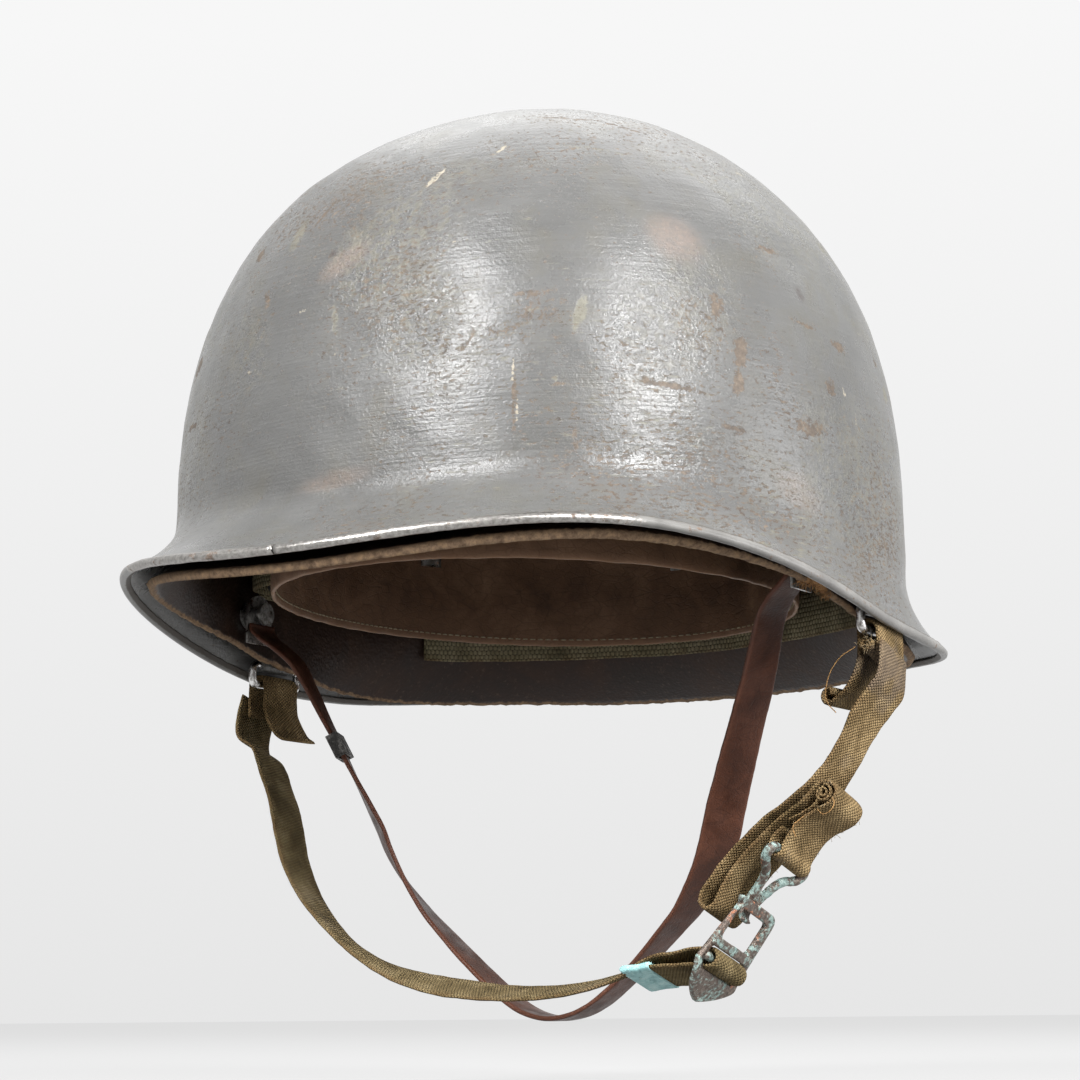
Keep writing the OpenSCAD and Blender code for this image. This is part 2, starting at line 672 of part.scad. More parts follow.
// Clips hold the sweatband to the headband webbing, midway between rivets
clip_w = 8;
clip_t = 0.8;
clip_h = 9;
module sweatband_clips() {
    slot = sweat_t + web_gap + web_t + 1.1;
    top = max(sweat_z + sweat_h, rivet_z + web_w / 2 - 1);
    color("silver")
        for (i = [0:rivets - 1]) {
            a = rivet_a(i) + 180 / rivets;
            h = head_at(a, (web_gap + web_t) / 2);
            translate([h[0], h[1], top + 0.2 - clip_h + clip_t / 2])
                rotate([0, 0, atan2(-cos(a) / pow(head_reach(a), 2), sin(a) / pow(head_side, 2))])
                difference() {
                    translate([-slot / 2 - clip_t, -clip_w / 2, 0])
                        cube([slot + 2 * clip_t, clip_w, clip_h + clip_t]);
                    translate([-slot / 2, -clip_w, -1]) cube([slot, 2 * clip_w, clip_h + 1]);
                }
        }
}
module sweatband_buckle() {
    // Small frame behind the nape, against the sweatband's outer face below the webbing
    y = head_reach(180) + sweat_t / 2 + web_gap + 1.2;
    color("silver")
        translate([0, y, sweat_z + 5])
        rotate([90, 0, 0])
        linear_extrude(1.2)
        difference() {
            square([15, 9], center = true);
            square([11, 5.4], center = true);
        }
}
// Neckband: a web that hangs in the nape between three rivets
neck_w = 15;
neck_z = 22;
neck_top = neck_z + neck_w / 2;
neck_half = 50;
neck_deep = liner_in + web_gap + facet_gap + web_t / 2;
function off_neck_rivet(a) = abs((abs(a - 180) + neck_half / 2) % neck_half - neck_half / 2);
function at_neck_rivet(a) = 1 - smooth((off_neck_rivet(a) - 3) / 14);
function neck_point(a) = inside(a, neck_top, liner_relief, neck_deep + 3.4 * (1 - at_neck_rivet(a)));
module neckband() {
    p = [for (a = [180 - neck_half - 4:4:180 + neck_half + 4]) neck_point(a)];
    color("tan") ribbon([for (q = p) [q[0], q[1], neck_z]], [for (q = p) [0, 0, 1]], neck_w, web_t);
}
module neckband_rivets() {
    color("dimgray")
        for (a = [180 - neck_half, 180, 180 + neck_half]) {
            at_web(a, neck_top, neck_top - 3.5, neck_deep + web_t / 2 + facet_gap)
                mirror([1, 0, 0])
                rivet_head(rivet_in_r, 1.2);
            at_wall(a, neck_top - 3.5, liner_out)
                translate([web_gap, 0, 0])
                rivet_head(neck_rivet_r, 1.2);
        }
}

// Leather strap: a half route from under the chin up to the wearer's left stud, with its twist in degrees
stud_a = 81;
stud_z = 22;
plate_t = 0.8;
plate_l = 10;
stud_at = inside(stud_a, stud_z, liner_relief, liner_in + 0.75);
stud_l = 8;
stud_cap_t = 1.2;
plate_x = stud_at[0] - stud_l + 3;
leather_x = plate_x - 0.2 - leather_t / 2;
leather_steps = [
    [[0, 8, -112.5], 0], [[8, 8.3, -111.2], 0], [[15, 8.6, -108], 0], [[23.5, 8.8, -101.8], 0],
    [[32, 8.5, -94.5], 2], [[40.5, 8, -86.5], 8], [[47.6, 7.6, -79.5], 16], [[53.5, 6.3, -72], 26],
    [[58.2, 4.8, -64.6], 36], [[61.5, 3.3, -57.5], 41], [[64.2, 1.9, -50], 42], [[67.6, 0, -42], 38],
    [[71.1, -2, -34], 33], [[76, -4.6, -23], 27], [[80.6, -7, -12.6], 22], [[84.5, -9.6, -3], 17],
    [[88.2, -12.6, 5.2], 11], [[92.6, -15.4, 10.2], 6]
];
leather_half = concat(
    [for (s = leather_steps) [spread * s[0], s[1]]],
    [
        [[leather_x - 2.6, stud_at[1], stud_z - 8.4], 2],
        [[leather_x, stud_at[1], stud_z - 5.4], 0],
        [[leather_x, stud_at[1], stud_z - 3.6], 0]
    ]);
function mirrored(v) = [for (i = [last(v):-1:1]) [[-v[i][0][0], v[i][0][1], v[i][0][2]], -v[i][1]]];
leather_route = concat(mirrored(leather_half), leather_half);
module leather_strap() {
    color("maroon")
        ribbon(
            [for (s = leather_route) s[0]],
            [for (s = leather_route) [sin(s[1]), cos(s[1]), 0]],
            leather_w, leather_t);
}
module strap_studs() {
    color("silver") mirrored_pair() translate(stud_at) rotate([0, -90, 0]) {
        cylinder(r = 2 * stud_r + 0.1, h = 1);
        cylinder(r = stud_r, h = stud_l);
        translate([0, 0, stud_l - 1]) cylinder(r = stud_r + 1.6, h = stud_cap_t);
    }
}
module leather_strap_ends() {
    // Steel end plates that turn on the studs
    color("silver")
        mirrored_pair()
        translate([plate_x, stud_at[1], stud_z])
        rotate([0, 90, 0])
        linear_extrude(plate_t)
        difference() {
            union() {
                circle(r = leather_w / 2);
                translate([0, -leather_w / 2]) square([plate_l, leather_w]);
            }
            circle(r = stud_r + pin_gap);
        }
}
module mirrored_pair() {
    children();
    mirror([1, 0, 0]) children();
}
// Sliding buckle of the leather strap, on the wearer's right
slide_at = 13;
module leather_strap_buckle() {
    p = leather_half[slide_at][0];
    up = unit(leather_half[slide_at + 1][0] - leather_half[slide_at - 1][0]);
    twist = leather_half[slide_at][1];
    side = unit(cross(up, cross([sin(twist), cos(twist), 0], up)));
    facing = cross(side, up);
    room = [leather_t + 0.9, leather_w + 0.9];
    color("silver")
        mirror([1, 0, 0])
        translate(p)
        rotate([0, 0, atan2(facing[1], facing[0])])
        rotate([0, atan2(-facing[2], norm([facing[0], facing[1]])), 0])
        difference() {
            cube([room[0] + 1.6, room[1] + 3, 8], center = true);
            cube([room[0], room[1], 10], center = true);
        }
}

steel_shell();
rim_band();
left_bail_lug();
right_bail_lug();
left_bail();
right_bail();
left_strap_loop();
right_strap_loop();
left_web_strap();
right_web_strap();
strap_tip();
strap_hook();
strap_buckle();
liner_shell();
front_eyelet();
headband_web();
suspension_webs();
crown_lace();
web_rivets();
rivet_washers();
sweatband();
sweatband_clips();
sweatband_buckle();
neckband();
neckband_rivets();
strap_studs();
leather_strap();
leather_strap_ends();
leather_strap_buckle();
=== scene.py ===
import math

import bpy
import numpy as np
from mathutils import Matrix


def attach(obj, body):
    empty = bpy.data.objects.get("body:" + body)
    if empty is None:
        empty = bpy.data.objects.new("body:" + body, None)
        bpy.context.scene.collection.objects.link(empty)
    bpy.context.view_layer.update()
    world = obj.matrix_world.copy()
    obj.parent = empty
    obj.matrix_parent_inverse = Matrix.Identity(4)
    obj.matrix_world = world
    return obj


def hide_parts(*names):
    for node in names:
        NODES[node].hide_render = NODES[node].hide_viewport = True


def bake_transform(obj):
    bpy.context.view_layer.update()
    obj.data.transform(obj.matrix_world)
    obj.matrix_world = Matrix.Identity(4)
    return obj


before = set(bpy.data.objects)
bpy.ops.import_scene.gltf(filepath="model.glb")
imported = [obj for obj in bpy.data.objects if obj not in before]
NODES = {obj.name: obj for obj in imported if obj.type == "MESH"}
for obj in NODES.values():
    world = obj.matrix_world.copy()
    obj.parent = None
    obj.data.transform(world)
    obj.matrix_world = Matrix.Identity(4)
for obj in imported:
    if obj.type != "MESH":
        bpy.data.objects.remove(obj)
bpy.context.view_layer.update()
MM = 0.001
rng = np.random.default_rng(7)


def arr(p):
    return np.array(p, float)


def cosd(t):
    return math.cos(math.radians(t))


def sind(t):
    return math.sin(math.radians(t))


def placed(name, data):
    ob = bpy.data.objects.new(name, data)
    bpy.context.collection.objects.link(ob)
    return ob


def stand(ob, x, y, z, at):
    m = np.eye(4)
    m[:3, 0], m[:3, 1], m[:3, 2], m[:3, 3] = x, y, z, at
    ob.matrix_world = Matrix(m.tolist())


# Camera at the photograph's angle; all geometry below is in millimetres until it becomes a mesh
AZ, EL, ROLL = math.radians(31.22), math.radians(-10.26), math.radians(-0.59)
FOCAL, PIXELS, SENSOR = 2600.0, 1080.0, 36
UP = arr([0, 0, 1])
back = arr([math.sin(AZ) * math.cos(EL), -math.cos(AZ) * math.cos(EL), math.sin(EL)])
right = arr([math.cos(AZ), math.sin(AZ), 0.0])
above = np.cross(back, right)
cam_x = right * math.cos(ROLL) + above * math.sin(ROLL)
cam_y = -right * math.sin(ROLL) + above * math.cos(ROLL)
cam_at = arr([429.3, -708.3, -110.0])
cam = placed("camera", bpy.data.cameras.new("camera"))
cam.data.sensor_width = SENSOR
cam.data.lens = FOCAL / PIXELS * SENSOR
cam.data.clip_start, cam.data.clip_end = 0.05, 30
stand(cam, cam_x, cam_y, back, cam_at * MM)
bpy.context.scene.camera = cam

# Wall of the steel pot, as in the CAD: angle from the front in radians, level in millimetres
SHELL_H, SHELL_W, FRONT, REAR, STEEL = 177, 229, 110, 113.5, 1.0
STRAIGHT_H, SHOULDER, CROWN, PLAN = 40, 2.26, 2.43, 2.22
FLARE_H, VISOR_FLARE, SIDE_FLARE, REAR_FLARE, FLARE_POW = 25, 33, 5.4, 21.8, 2.2
BAND_H, BAND_T, BAND_GAP = 3.2, 0.7, 0.15
LINER_T, CROWN_GAP, SIDE_GAP, LINER_UP, RELIEF = 2.4, 0.7, 4.2, 5, 8
HEAD_L, HEAD_W, SWEAT_H, SWEAT_T, SWEAT_Z = 196, 156, 34, 1.5, 18
WEB_W, WEB_T, RIVET_Z, RIVETS, LACE_R, LACE_D = 22, 1.2, 40, 6, 26, 3
STRAP_W, STRAP_T, LEAN, HINGE_X, BAR_Y, BAR_Z = 19, 1.4, math.radians(17), 113.473, 9, 1
LINER_IN = STEEL + SIDE_GAP + LINER_T


def ease(t):
    t = np.clip(t, 0, 1)
    return t * t * (3 - 2 * t)


def rim_z(a):
    turn = np.degrees(np.abs((a + np.pi) % (2 * np.pi) - np.pi))
    return 21.3 * ease((107 - turn) / 70) + 4.5 * ease((turn - 111) / 39) - 5.2 * ease((37 - turn) / 37)


def plan_r(a):
    reach = np.where(np.cos(a) > 0, FRONT, REAR)
    return ((np.abs(np.sin(a)) / (SHELL_W / 2)) ** PLAN + (np.abs(np.cos(a)) / reach) ** PLAN) ** (-1 / PLAN)


def flare(a):
    c = np.cos(a)
    front = (VISOR_FLARE - SIDE_FLARE) * np.maximum(c, 0) ** 2.27
    return SIDE_FLARE + front + (REAR_FLARE - SIDE_FLARE) * np.maximum(-c, 0) ** 1.17


def dome_part(z):
    return np.clip((z - STRAIGHT_H) / (SHELL_H - STRAIGHT_H), 0, 1)


def wall_r(a, z, less):
    dome = plan_r(a) * np.maximum(1 - dome_part(z) ** CROWN, 0) ** (1 / SHOULDER)
    part = (np.maximum(rim_z(a) + FLARE_H - z, 0) / FLARE_H) ** FLARE_POW
    return dome + np.maximum(flare(a) - less * (1 - np.abs(np.cos(a))), 0) * part


def on_wall(a, z, less=0):
    r = wall_r(a, z, less)
    return np.stack([r * np.sin(a), -r * np.cos(a), z + 0 * a], -1)


def unit(v):
    return v / np.maximum(np.linalg.norm(v, axis=-1, keepdims=True), 1e-9)


def wall_normal(a, z, less=0):
    h = math.radians(0.5)
    n = unit(np.cross(on_wall(a + h, z, less) - on_wall(a - h, z, less),
                      on_wall(a, z + 0.01, less) - on_wall(a, z - 0.01, less)))
    top = (z + 0 * a > SHELL_H - 0.02)[..., None]
    return np.where(top, UP, n)


def inside(a, z, less, deep):
    a, z, deep = np.broadcast_arrays(arr(a), arr(z), arr(deep))
    return on_wall(a, z, less) - deep[..., None] * wall_normal(a, z, less)


def edge_level(a, lift):
    return rim_z(a) + lift / np.sqrt(1 + (flare(a) * FLARE_POW / FLARE_H) ** 2)


def waves(p, size, seed, octaves=3):
    """Smooth made-up noise from a few sine waves, about -1 to 1, for points p in millimetres."""
    g = np.random.default_rng(seed)
    out, total = 0.0, 0.0
    for o in range(octaves):
        for _ in range(5):
            k = unit(g.normal(size=3)) * 2 * np.pi / (size / 2 ** o) * g.uniform(0.7, 1.3)
            out = out + np.sin(p @ k + g.uniform(0, 6.3)) * 0.5 ** o
        total += 5 ** 0.5 * 0.5 ** o
    return out / total


# Mesh making
def add_mesh(name, co, faces, material, uv=None, smooth=True, attrs=()):
    me = bpy.data.meshes.new(name)
    me.from_pydata((arr(co) * MM).tolist(), [], faces)
    if uv is not None:
        layer = me.uv_layers.new(name="UVMap")
        layer.data.foreach_set("uv", arr(uv).reshape(-1).astype(np.float32))
    for key, value in dict(attrs).items():
        me.attributes.new(key, "FLOAT", "POINT").data.foreach_set("value", arr(value).astype(np.float32))
    me.materials.append(material)
    me.validate(clean_customdata=False)
    me.polygons.foreach_set("use_smooth", [smooth] * len(me.polygons))
    me.update()
    return placed(name, me)


def corners(g):
    """The four corners of every cell of a grid, row by row."""
    return np.stack([g[:-1, :-1], g[:-1, 1:], g[1:, 1:], g[1:, :-1]], 2)


def grid(name, p, material, wrap=(False, True), uv=None, poles=None, caps=False, attrs=(), flip=False):
    """Surface through a grid of points, rows by columns. wrap closes it over rows and over columns."""
    rows, cols = p.shape[:2]
    ids = np.pad(np.arange(rows * cols).reshape(rows, cols), [(0, int(w)) for w in wrap], "wrap")
    at = np.zeros((*ids.shape, 2)) if uv is None else uv
    faces, face_uv = corners(ids).reshape(-1, 4).tolist(), corners(at).reshape(-1, 4, 2).tolist()
    ids, at, co = ids.tolist(), at.tolist(), p.reshape(-1, 3)
    values = {key: arr(v).reshape(-1) for key, v in dict(attrs).items()}
    if poles is not None:
        faces += [[len(co), ids[0][c + 1], ids[0][c]] for c in range(cols)]
        faces += [[len(co) + 1, ids[-1][c], ids[-1][c + 1]] for c in range(cols)]
        face_uv += [[at[0][c], at[0][c + 1], at[0][c]] for c in range(cols)] + [[at[-1][c]] * 3 for c in range(cols)]
        co = np.concatenate([co, arr(poles)])
        values = {key: np.concatenate([v, [v[0], v[-1]]]) for key, v in values.items()}
    if caps:
        faces += [ids[0][:cols][::-1], ids[rows - 1][:cols]]
        face_uv += [at[0][:cols][::-1], at[rows - 1][:cols]]
    if flip:
        faces, face_uv = [f[::-1] for f in faces], [f[::-1] for f in face_uv]
    return add_mesh(name, co, faces, material, None if uv is None else [c for f in face_uv for c in f], True, values)


def resample(points, step, extra=None, closed=False):
    """Smooth curve through points, at even steps; extra holds values that go along with each point."""
    p = arr(points)
    q = p if extra is None else np.concatenate([p, arr(extra)], 1)
    if closed:
        q = np.concatenate([q[-2:], q, q[:3]])
    else:
        q = np.concatenate([2 * q[:1] - q[1:2], q, 2 * q[-1:] - q[-2:-1]])
    gaps = np.maximum(np.linalg.norm(np.diff(q[:, :3], axis=0), axis=1), 1e-6)
    knots = np.concatenate([[0], np.cumsum(gaps ** 0.5)])

    def between(t, i, k, a, b):
        """Point on the way from a to b, where t lies between the knots i and k."""
        return (knots[k] - t) / (knots[k] - knots[i]) * a + (t - knots[i]) / (knots[k] - knots[i]) * b

    fine = []
    last = len(q) - 2 if not closed else len(q) - 3
    for i in range(1 if not closed else 2, last):
        t = np.linspace(knots[i], knots[i + 1], 24, endpoint=False)[:, None]
        a1, a2, a3 = [between(t, j, j + 1, q[j], q[j + 1]) for j in (i - 1, i, i + 1)]
        b1, b2 = between(t, i - 1, i + 1, a1, a2), between(t, i, i + 2, a2, a3)
        fine.append(between(t, i, i + 1, b1, b2))
    fine = np.concatenate(fine + [q[last:last + 1]])
    s = np.concatenate([[0], np.cumsum(np.linalg.norm(np.diff(fine[:, :3], axis=0), axis=1))])
    n = max(int(round(s[-1] / step)), 4)
    at = np.linspace(0, s[-1], n + 1)[: n if closed else n + 1]
    out = np.stack([np.interp(at, s, fine[:, c]) for c in range(fine.shape[1])], 1)
    return (out[:, :3], out[:, 3:], at) if extra is not None else (out, at)


def tangents(p, closed=False):
    if closed:
        return unit(np.roll(p, -1, 0) - np.roll(p, 1, 0))
    return unit(np.gradient(p, axis=0))


RING = 28


def band(name, route, wide, w, t, material, step=0.7, closed=False, square=0.3, wander=0.12, swell=0.06, seed=1,
         taper=None, round_ends=False):
    """Strap or web: route in mm; wide is the direction across it, one for all or one each, and scales the width."""
    p, q, s = resample(route, step, np.broadcast_to(arr(wide), (len(route), 3)), closed)
    d = tangents(p, closed)
    n = unit(np.cross(q, d))
    side = np.cross(d, n) * np.linalg.norm(q, axis=1)[:, None]
    ang = np.linspace(0, 2 * np.pi, RING + 1)[:-1]
    cx = np.sign(np.cos(ang)) * np.abs(np.cos(ang)) ** square
    cy = np.sign(np.sin(ang)) * np.abs(np.sin(ang)) ** 0.55
    half = w / 2 + wander * waves(p, 16, seed) + wander * 0.6 * waves(p, 4, seed + 5)
    thick = t / 2 * (1 + swell * waves(p, 9, seed + 1))
    if round_ends:
        near = np.minimum(s, s[-1] - s)
        thick = thick * np.clip(np.sqrt(near / 0.8), 0.35, 1)
    if taper is not None:
        half = half * taper(s / s[-1])
    lift = swell * t * 0.6 * waves(p, 11, seed + 2)
    offset = cy[None, :] * thick[:, None] + lift[:, None]
    co = p[:, None] + side[:, None] * (cx[None, :] * half[:, None])[..., None] + n[:, None] * offset[..., None]
    along = np.append(s, s[-1] + (s[1] - s[0])) if closed else s
    across = np.append(cx, cx[0]) * w / 2
    uv = np.stack(np.broadcast_arrays(along[:, None], across[None]), -1) * MM
    edge = np.repeat((np.abs(cx)[None] ** 6), len(s), 0)
    return grid(name, co, material, (closed, True), uv, None, not closed, {"edge": edge}, flip=True)


def tube_rows(points, radius, sides=8, step=0.6, closed=False):
    """Rings of a round wire through points, as rows by sides."""
    p, s = resample(points, step, None, closed)
    d = tangents(p, closed)
    n = np.zeros_like(p)
    v = unit(np.cross(d[0], arr([0.13, 0.31, 0.94])))
    for i in range(len(p)):
        v = unit(v - d[i] * (v @ d[i]))
        n[i] = v
    ang = np.linspace(0, 2 * np.pi, sides + 1)[:-1]
    r = radius(s / s[-1]) if callable(radius) else np.full(len(s), float(radius))
    ring = n[:, None] * np.cos(ang)[None, :, None] + np.cross(d, n)[:, None] * np.sin(ang)[None, :, None]
    return p[:, None] + r[:, None, None] * ring


def wire(name, points, radius, material, sides, step, seed, rough=0.06):
    p = tube_rows(points, radius, sides, step)
    mid = p.mean(1, keepdims=True)
    swell = rough * waves(p.reshape(-1, 3), 2.5, seed).reshape(p.shape[:2])
    return grid(name, mid + (p - mid) * (1 + swell)[..., None], material, caps=True)


def fibres(name, strands, material, radius=0.07, sides=5):
    """Many thin threads as one mesh."""
    cos, faces, base = [], [], 0
    for pts in strands:
        p = tube_rows(pts, radius, sides, 0.5)
        cos.append(p.reshape(-1, 3))
        here = base + np.arange(len(p) * sides).reshape(-1, sides)
        faces += corners(np.pad(here, ((0, 0), (0, 1)), "wrap")).reshape(-1, 4).tolist()
        faces += [here[0, ::-1].tolist(), here[-1].tolist()]
        base += here.size
    return add_mesh(name, np.concatenate(cos), faces, material)


def plate(name, outlines, thick, bevel, material, place):
    """Flat stamped plate with rounded edges from closed outlines; place maps its points (x, y, z) to the frame."""
    cu = bpy.data.curves.new(name, "CURVE")
    cu.dimensions, cu.fill_mode = "2D", "BOTH"
    cu.extrude, cu.bevel_depth, cu.bevel_resolution = thick / 2 - bevel, bevel, 3
    cu.offset = -bevel
    for pts in outlines:
        sp = cu.splines.new("POLY")
        sp.points.add(len(pts) - 1)
        for q, v in zip(sp.points, pts):
            q.co = (v[0], v[1], 0, 1)
        sp.use_cyclic_u = True
    tmp = placed(name + "_curve", cu)
    bpy.context.view_layer.update()
    src = tmp.evaluated_get(bpy.context.evaluated_depsgraph_get()).to_mesh()
    co = arr([v.co for v in src.vertices])
    faces = [list(f.vertices) for f in src.polygons]
    tmp.to_mesh_clear()
    bpy.data.objects.remove(tmp)
    bpy.data.curves.remove(cu)
    return add_mesh(name, place(co), faces, material, None, False)


# Node materials
class Value:
    """Output of a node, which can stand in sums and products."""

    def __init__(self, nodes, socket):
        self.nodes, self.socket = nodes, socket

    def __add__(self, other):
        return self.nodes.calc("ADD", self, other)

    def __sub__(self, other):
        return self.nodes.calc("SUBTRACT", self, other)

    def __rsub__(self, other):
        return self.nodes.calc("SUBTRACT", other, self)

    def __mul__(self, other):
        return self.nodes.calc("MULTIPLY", self, other)

    def __truediv__(self, other):
        return self.nodes.calc("DIVIDE", self, other)


def most(value, *others):
    for other in others:
        value = value.nodes.calc("MAXIMUM", value, other)
    return value


class Nodes:
    def __init__(self, tree):
        self.tree = tree

    def put(self, socket, value):
        if isinstance(value, Value):
            self.tree.links.new(value.socket, socket)
        else:
            socket.default_value = (*value, 1) if socket.type == "RGBA" else value

    def node(self, kind, out, inputs=(), **settings):
        n = self.tree.nodes.new("ShaderNode" + kind)
        for key, value in settings.items():
            setattr(n, key, value)
        for key, value in dict(inputs).items():
            self.put(n.inputs[key], value)
        return Value(self, n.outputs[out])

    def coords(self, scale=(1, 1, 1), uv=False):
        source = self.node("TexCoord", "UV" if uv else "Object")
        return self.node("Mapping", 0, {"Scale": scale, "Vector": source})

    def noise(self, scale, detail=4, rough=0.55, vec=None, distort=0.0):
        return self.node("TexNoise", "Fac", {"Scale": scale, "Detail": detail, "Roughness": rough,
                                             "Distortion": distort, "Vector": vec or self.coords()})

    def cells(self, scale, vec=None, feature="F1"):
        return self.node("TexVoronoi", "Distance", {"Scale": scale, "Vector": vec or self.coords()}, feature=feature)

    def attr(self, name):
        return self.node("Attribute", "Fac", attribute_name=name)

    def calc(self, op, a, b=0.0):
        return self.node("Math", 0, {0: a, 1: b}, operation=op)

    def span(self, x, lo, hi, a=0.0, b=1.0, kind="SMOOTHSTEP"):
        return self.node("MapRange", 0, {"Value": x, "From Min": lo, "From Max": hi, "To Min": a, "To Max": b},
                         interpolation_type=kind)

    def mix(self, fac, a, b):
        return self.node("Mix", 2, {0: fac, 6: a, 7: b}, data_type="RGBA")

    def ramp(self, x, *stops):
        n = self.tree.nodes.new("ShaderNodeValToRGB")
        while len(n.color_ramp.elements) < len(stops):
            n.color_ramp.elements.new(0.5)
        for e, (at, c) in zip(n.color_ramp.elements, stops):
            e.position, e.color = at, (*c, 1)
        self.put(n.inputs[0], x)
        return Value(self, n.outputs[0])


class Paint(Nodes):
    """Surface put together from nodes: colour, roughness, metal and layers of relief."""

    def __init__(self, name, rough=0.5, metal=0.0, spec=0.5):
        self.m = bpy.data.materials.new(name)
        self.m.use_nodes = True
        super().__init__(self.m.node_tree)
        self.surface = self.tree.nodes["Principled BSDF"].inputs
        self.normal = None
        for key, value in (("Base Color", (0.5, 0.5, 0.5)), ("Roughness", rough), ("Metallic", metal),
                           ("Specular IOR Level", spec)):
            self.put(self.surface[key], value)

    def bumps(self, *layers):
        """Layers of relief, each a height, a strength and a distance in metres."""
        for height, strength, distance in layers:
            under = {"Normal": self.normal} if self.normal else {}
            self.normal = self.node("Bump", 0, {"Strength": strength, "Distance": distance, "Height": height, **under})

    def done(self, color, rough, metal=None):
        for key, value in (("Base Color", color), ("Roughness", rough), ("Metallic", metal), ("Normal", self.normal)):
            if value is not None:
                self.put(self.surface[key], value)
        return self.m


def scaled(color, by):
    return tuple(c * by for c in color)


def shell_paint(name, marks):
    """Grey semi-gloss repaint, brushed over older olive paint, with chips down to brown primer."""
    p = Paint(name)
    rag = p.noise(620, 5, 0.75)
    if marks:
        strokes = p.noise(1, 4, 0.62, p.coords((30, 760, 1), uv=True))
        specks = p.noise(1, 5, 0.74, p.coords((420, 900, 1), uv=True), 0.3)
        wide = p.noise(1, 5, 0.72, p.coords((110, 560, 1), uv=True))
    else:
        strokes = p.noise(300, 3)
        specks = wide = p.noise(640, 5, 0.74, distort=0.3)
    tone = p.ramp(p.noise(20, 5, 0.6, distort=0.4), (0.3, (0.084, 0.0835, 0.081)), (0.5, (0.102, 0.1015, 0.0985)),
                  (0.7, (0.124, 0.1235, 0.1195)))
    tone = p.mix(p.span(p.noise(70, 5, 0.65, distort=0.3), 0.45, 0.75, 0, 0.5), tone, (0.105, 0.098, 0.078))
    tone = p.mix(p.span(strokes, 0.5, 0.85, 0, 0.30), tone, (0.18, 0.178, 0.174))
    tone = p.mix(p.span(p.noise(900, 4, 0.7), 0.6, 0.75, 0, 0.45), tone, (0.06, 0.056, 0.046))
    brown = p.span(specks * 0.80 + p.noise(15, 3, 0.6) * 0.36, 0.656, 0.684)
    olive = p.span(wide * 0.75 + p.noise(11, 2) * 0.36, 0.645, 0.74)
    if marks:
        brown = most(brown, p.span(p.attr("rust") * 1.3 + rag * 1.7, 1.25, 1.35))
        crest = p.attr("brushed") * p.span(p.noise(330, 4, 0.7), 0.46, 0.6)
        olive = most(olive, crest * 0.75, p.span(p.attr("olive") + rag * 0.9, 0.80, 1.0))
        fleck = p.span(p.noise(820, 4, 0.7), 0.70, 0.73) * p.span(p.noise(30, 2), 0.45, 0.6)
        pale = most(p.span(p.attr("cream") * 0.9 + rag * 1.9, 1.42, 1.55), fleck * 0.55)
        # Pink tint: a painted reflection of warm light on the grey paint
        tone = p.mix(p.attr("pink_reflection") * p.span(rag, 0.2, 0.8, 0.1, 0.75), tone, (0.25, 0.18, 0.14))
        tone = p.mix(p.attr("dark") * 0.9, tone, (0.05, 0.035, 0.03))
    olive_tone = p.ramp(p.noise(260, 3), (0.35, (0.115, 0.105, 0.066)), (0.65, (0.215, 0.20, 0.145)))
    brown_tone = p.ramp(p.noise(330, 4, 0.7), (0.35, (0.045, 0.03, 0.02)), (0.55, (0.105, 0.075, 0.05)),
                        (0.75, (0.20, 0.15, 0.105)))
    color = p.mix(brown * 0.85, p.mix(olive * 0.55, tone, olive_tone), brown_tone)
    chips = most(brown, olive * 0.5)
    coarse = p.span(p.noise(900, 3, 0.55), 0.42, 0.66)
    if marks:
        color = p.mix(pale * 0.7, color, (0.40, 0.355, 0.275))
        chips = most(chips, pale)
        coarse = coarse * (p.attr("brushed") * 0.8 + 0.12)
    p.bumps((coarse, 0.5, 0.00035), (p.noise(880, 3, 0.55), 0.5, 0.0002), (p.noise(1500, 3, 0.5), 0.5, 0.00012),
            (strokes, 0.4, 0.0004), (p.noise(2600, 3, 0.6), 0.4, 0.00006), (1.0 - chips, 0.4, 0.00025))
    return p.done(color, p.span(p.noise(90, 4, 0.6), 0.3, 0.7, 0.24, 0.34) + chips * 0.28)


def worn_steel(name, dirt, tint, dark, rust, rough=(0.22, 0.5)):
    p = Paint(name, metal=1.0)
    slow = p.noise(160, 5, 0.65, distort=0.5)
    fine = p.noise(700, 4, 0.6)
    grime = p.span(slow * 0.7 + fine * 0.3, 0.62 - 0.3 * dirt, 0.72 - 0.2 * dirt)
    spots = p.span(p.noise(340, 5, 0.7), 0.70 - 0.22 * rust, 0.76 - 0.2 * rust)
    cover = most(grime, spots)
    rust_tone = p.ramp(fine, (0.3, (0.09, 0.04, 0.02)), (0.7, (0.27, 0.13, 0.06)))
    p.bumps((fine, 0.3, 0.0002), (p.noise(1500, 2), 0.2, 0.0001))
    return p.done(p.mix(spots * 0.8, p.mix(grime, tint, dark), rust_tone),
                  p.span(slow, 0.3, 0.7, *rough) + cover * 0.25, 1.0 - cover * 0.75)


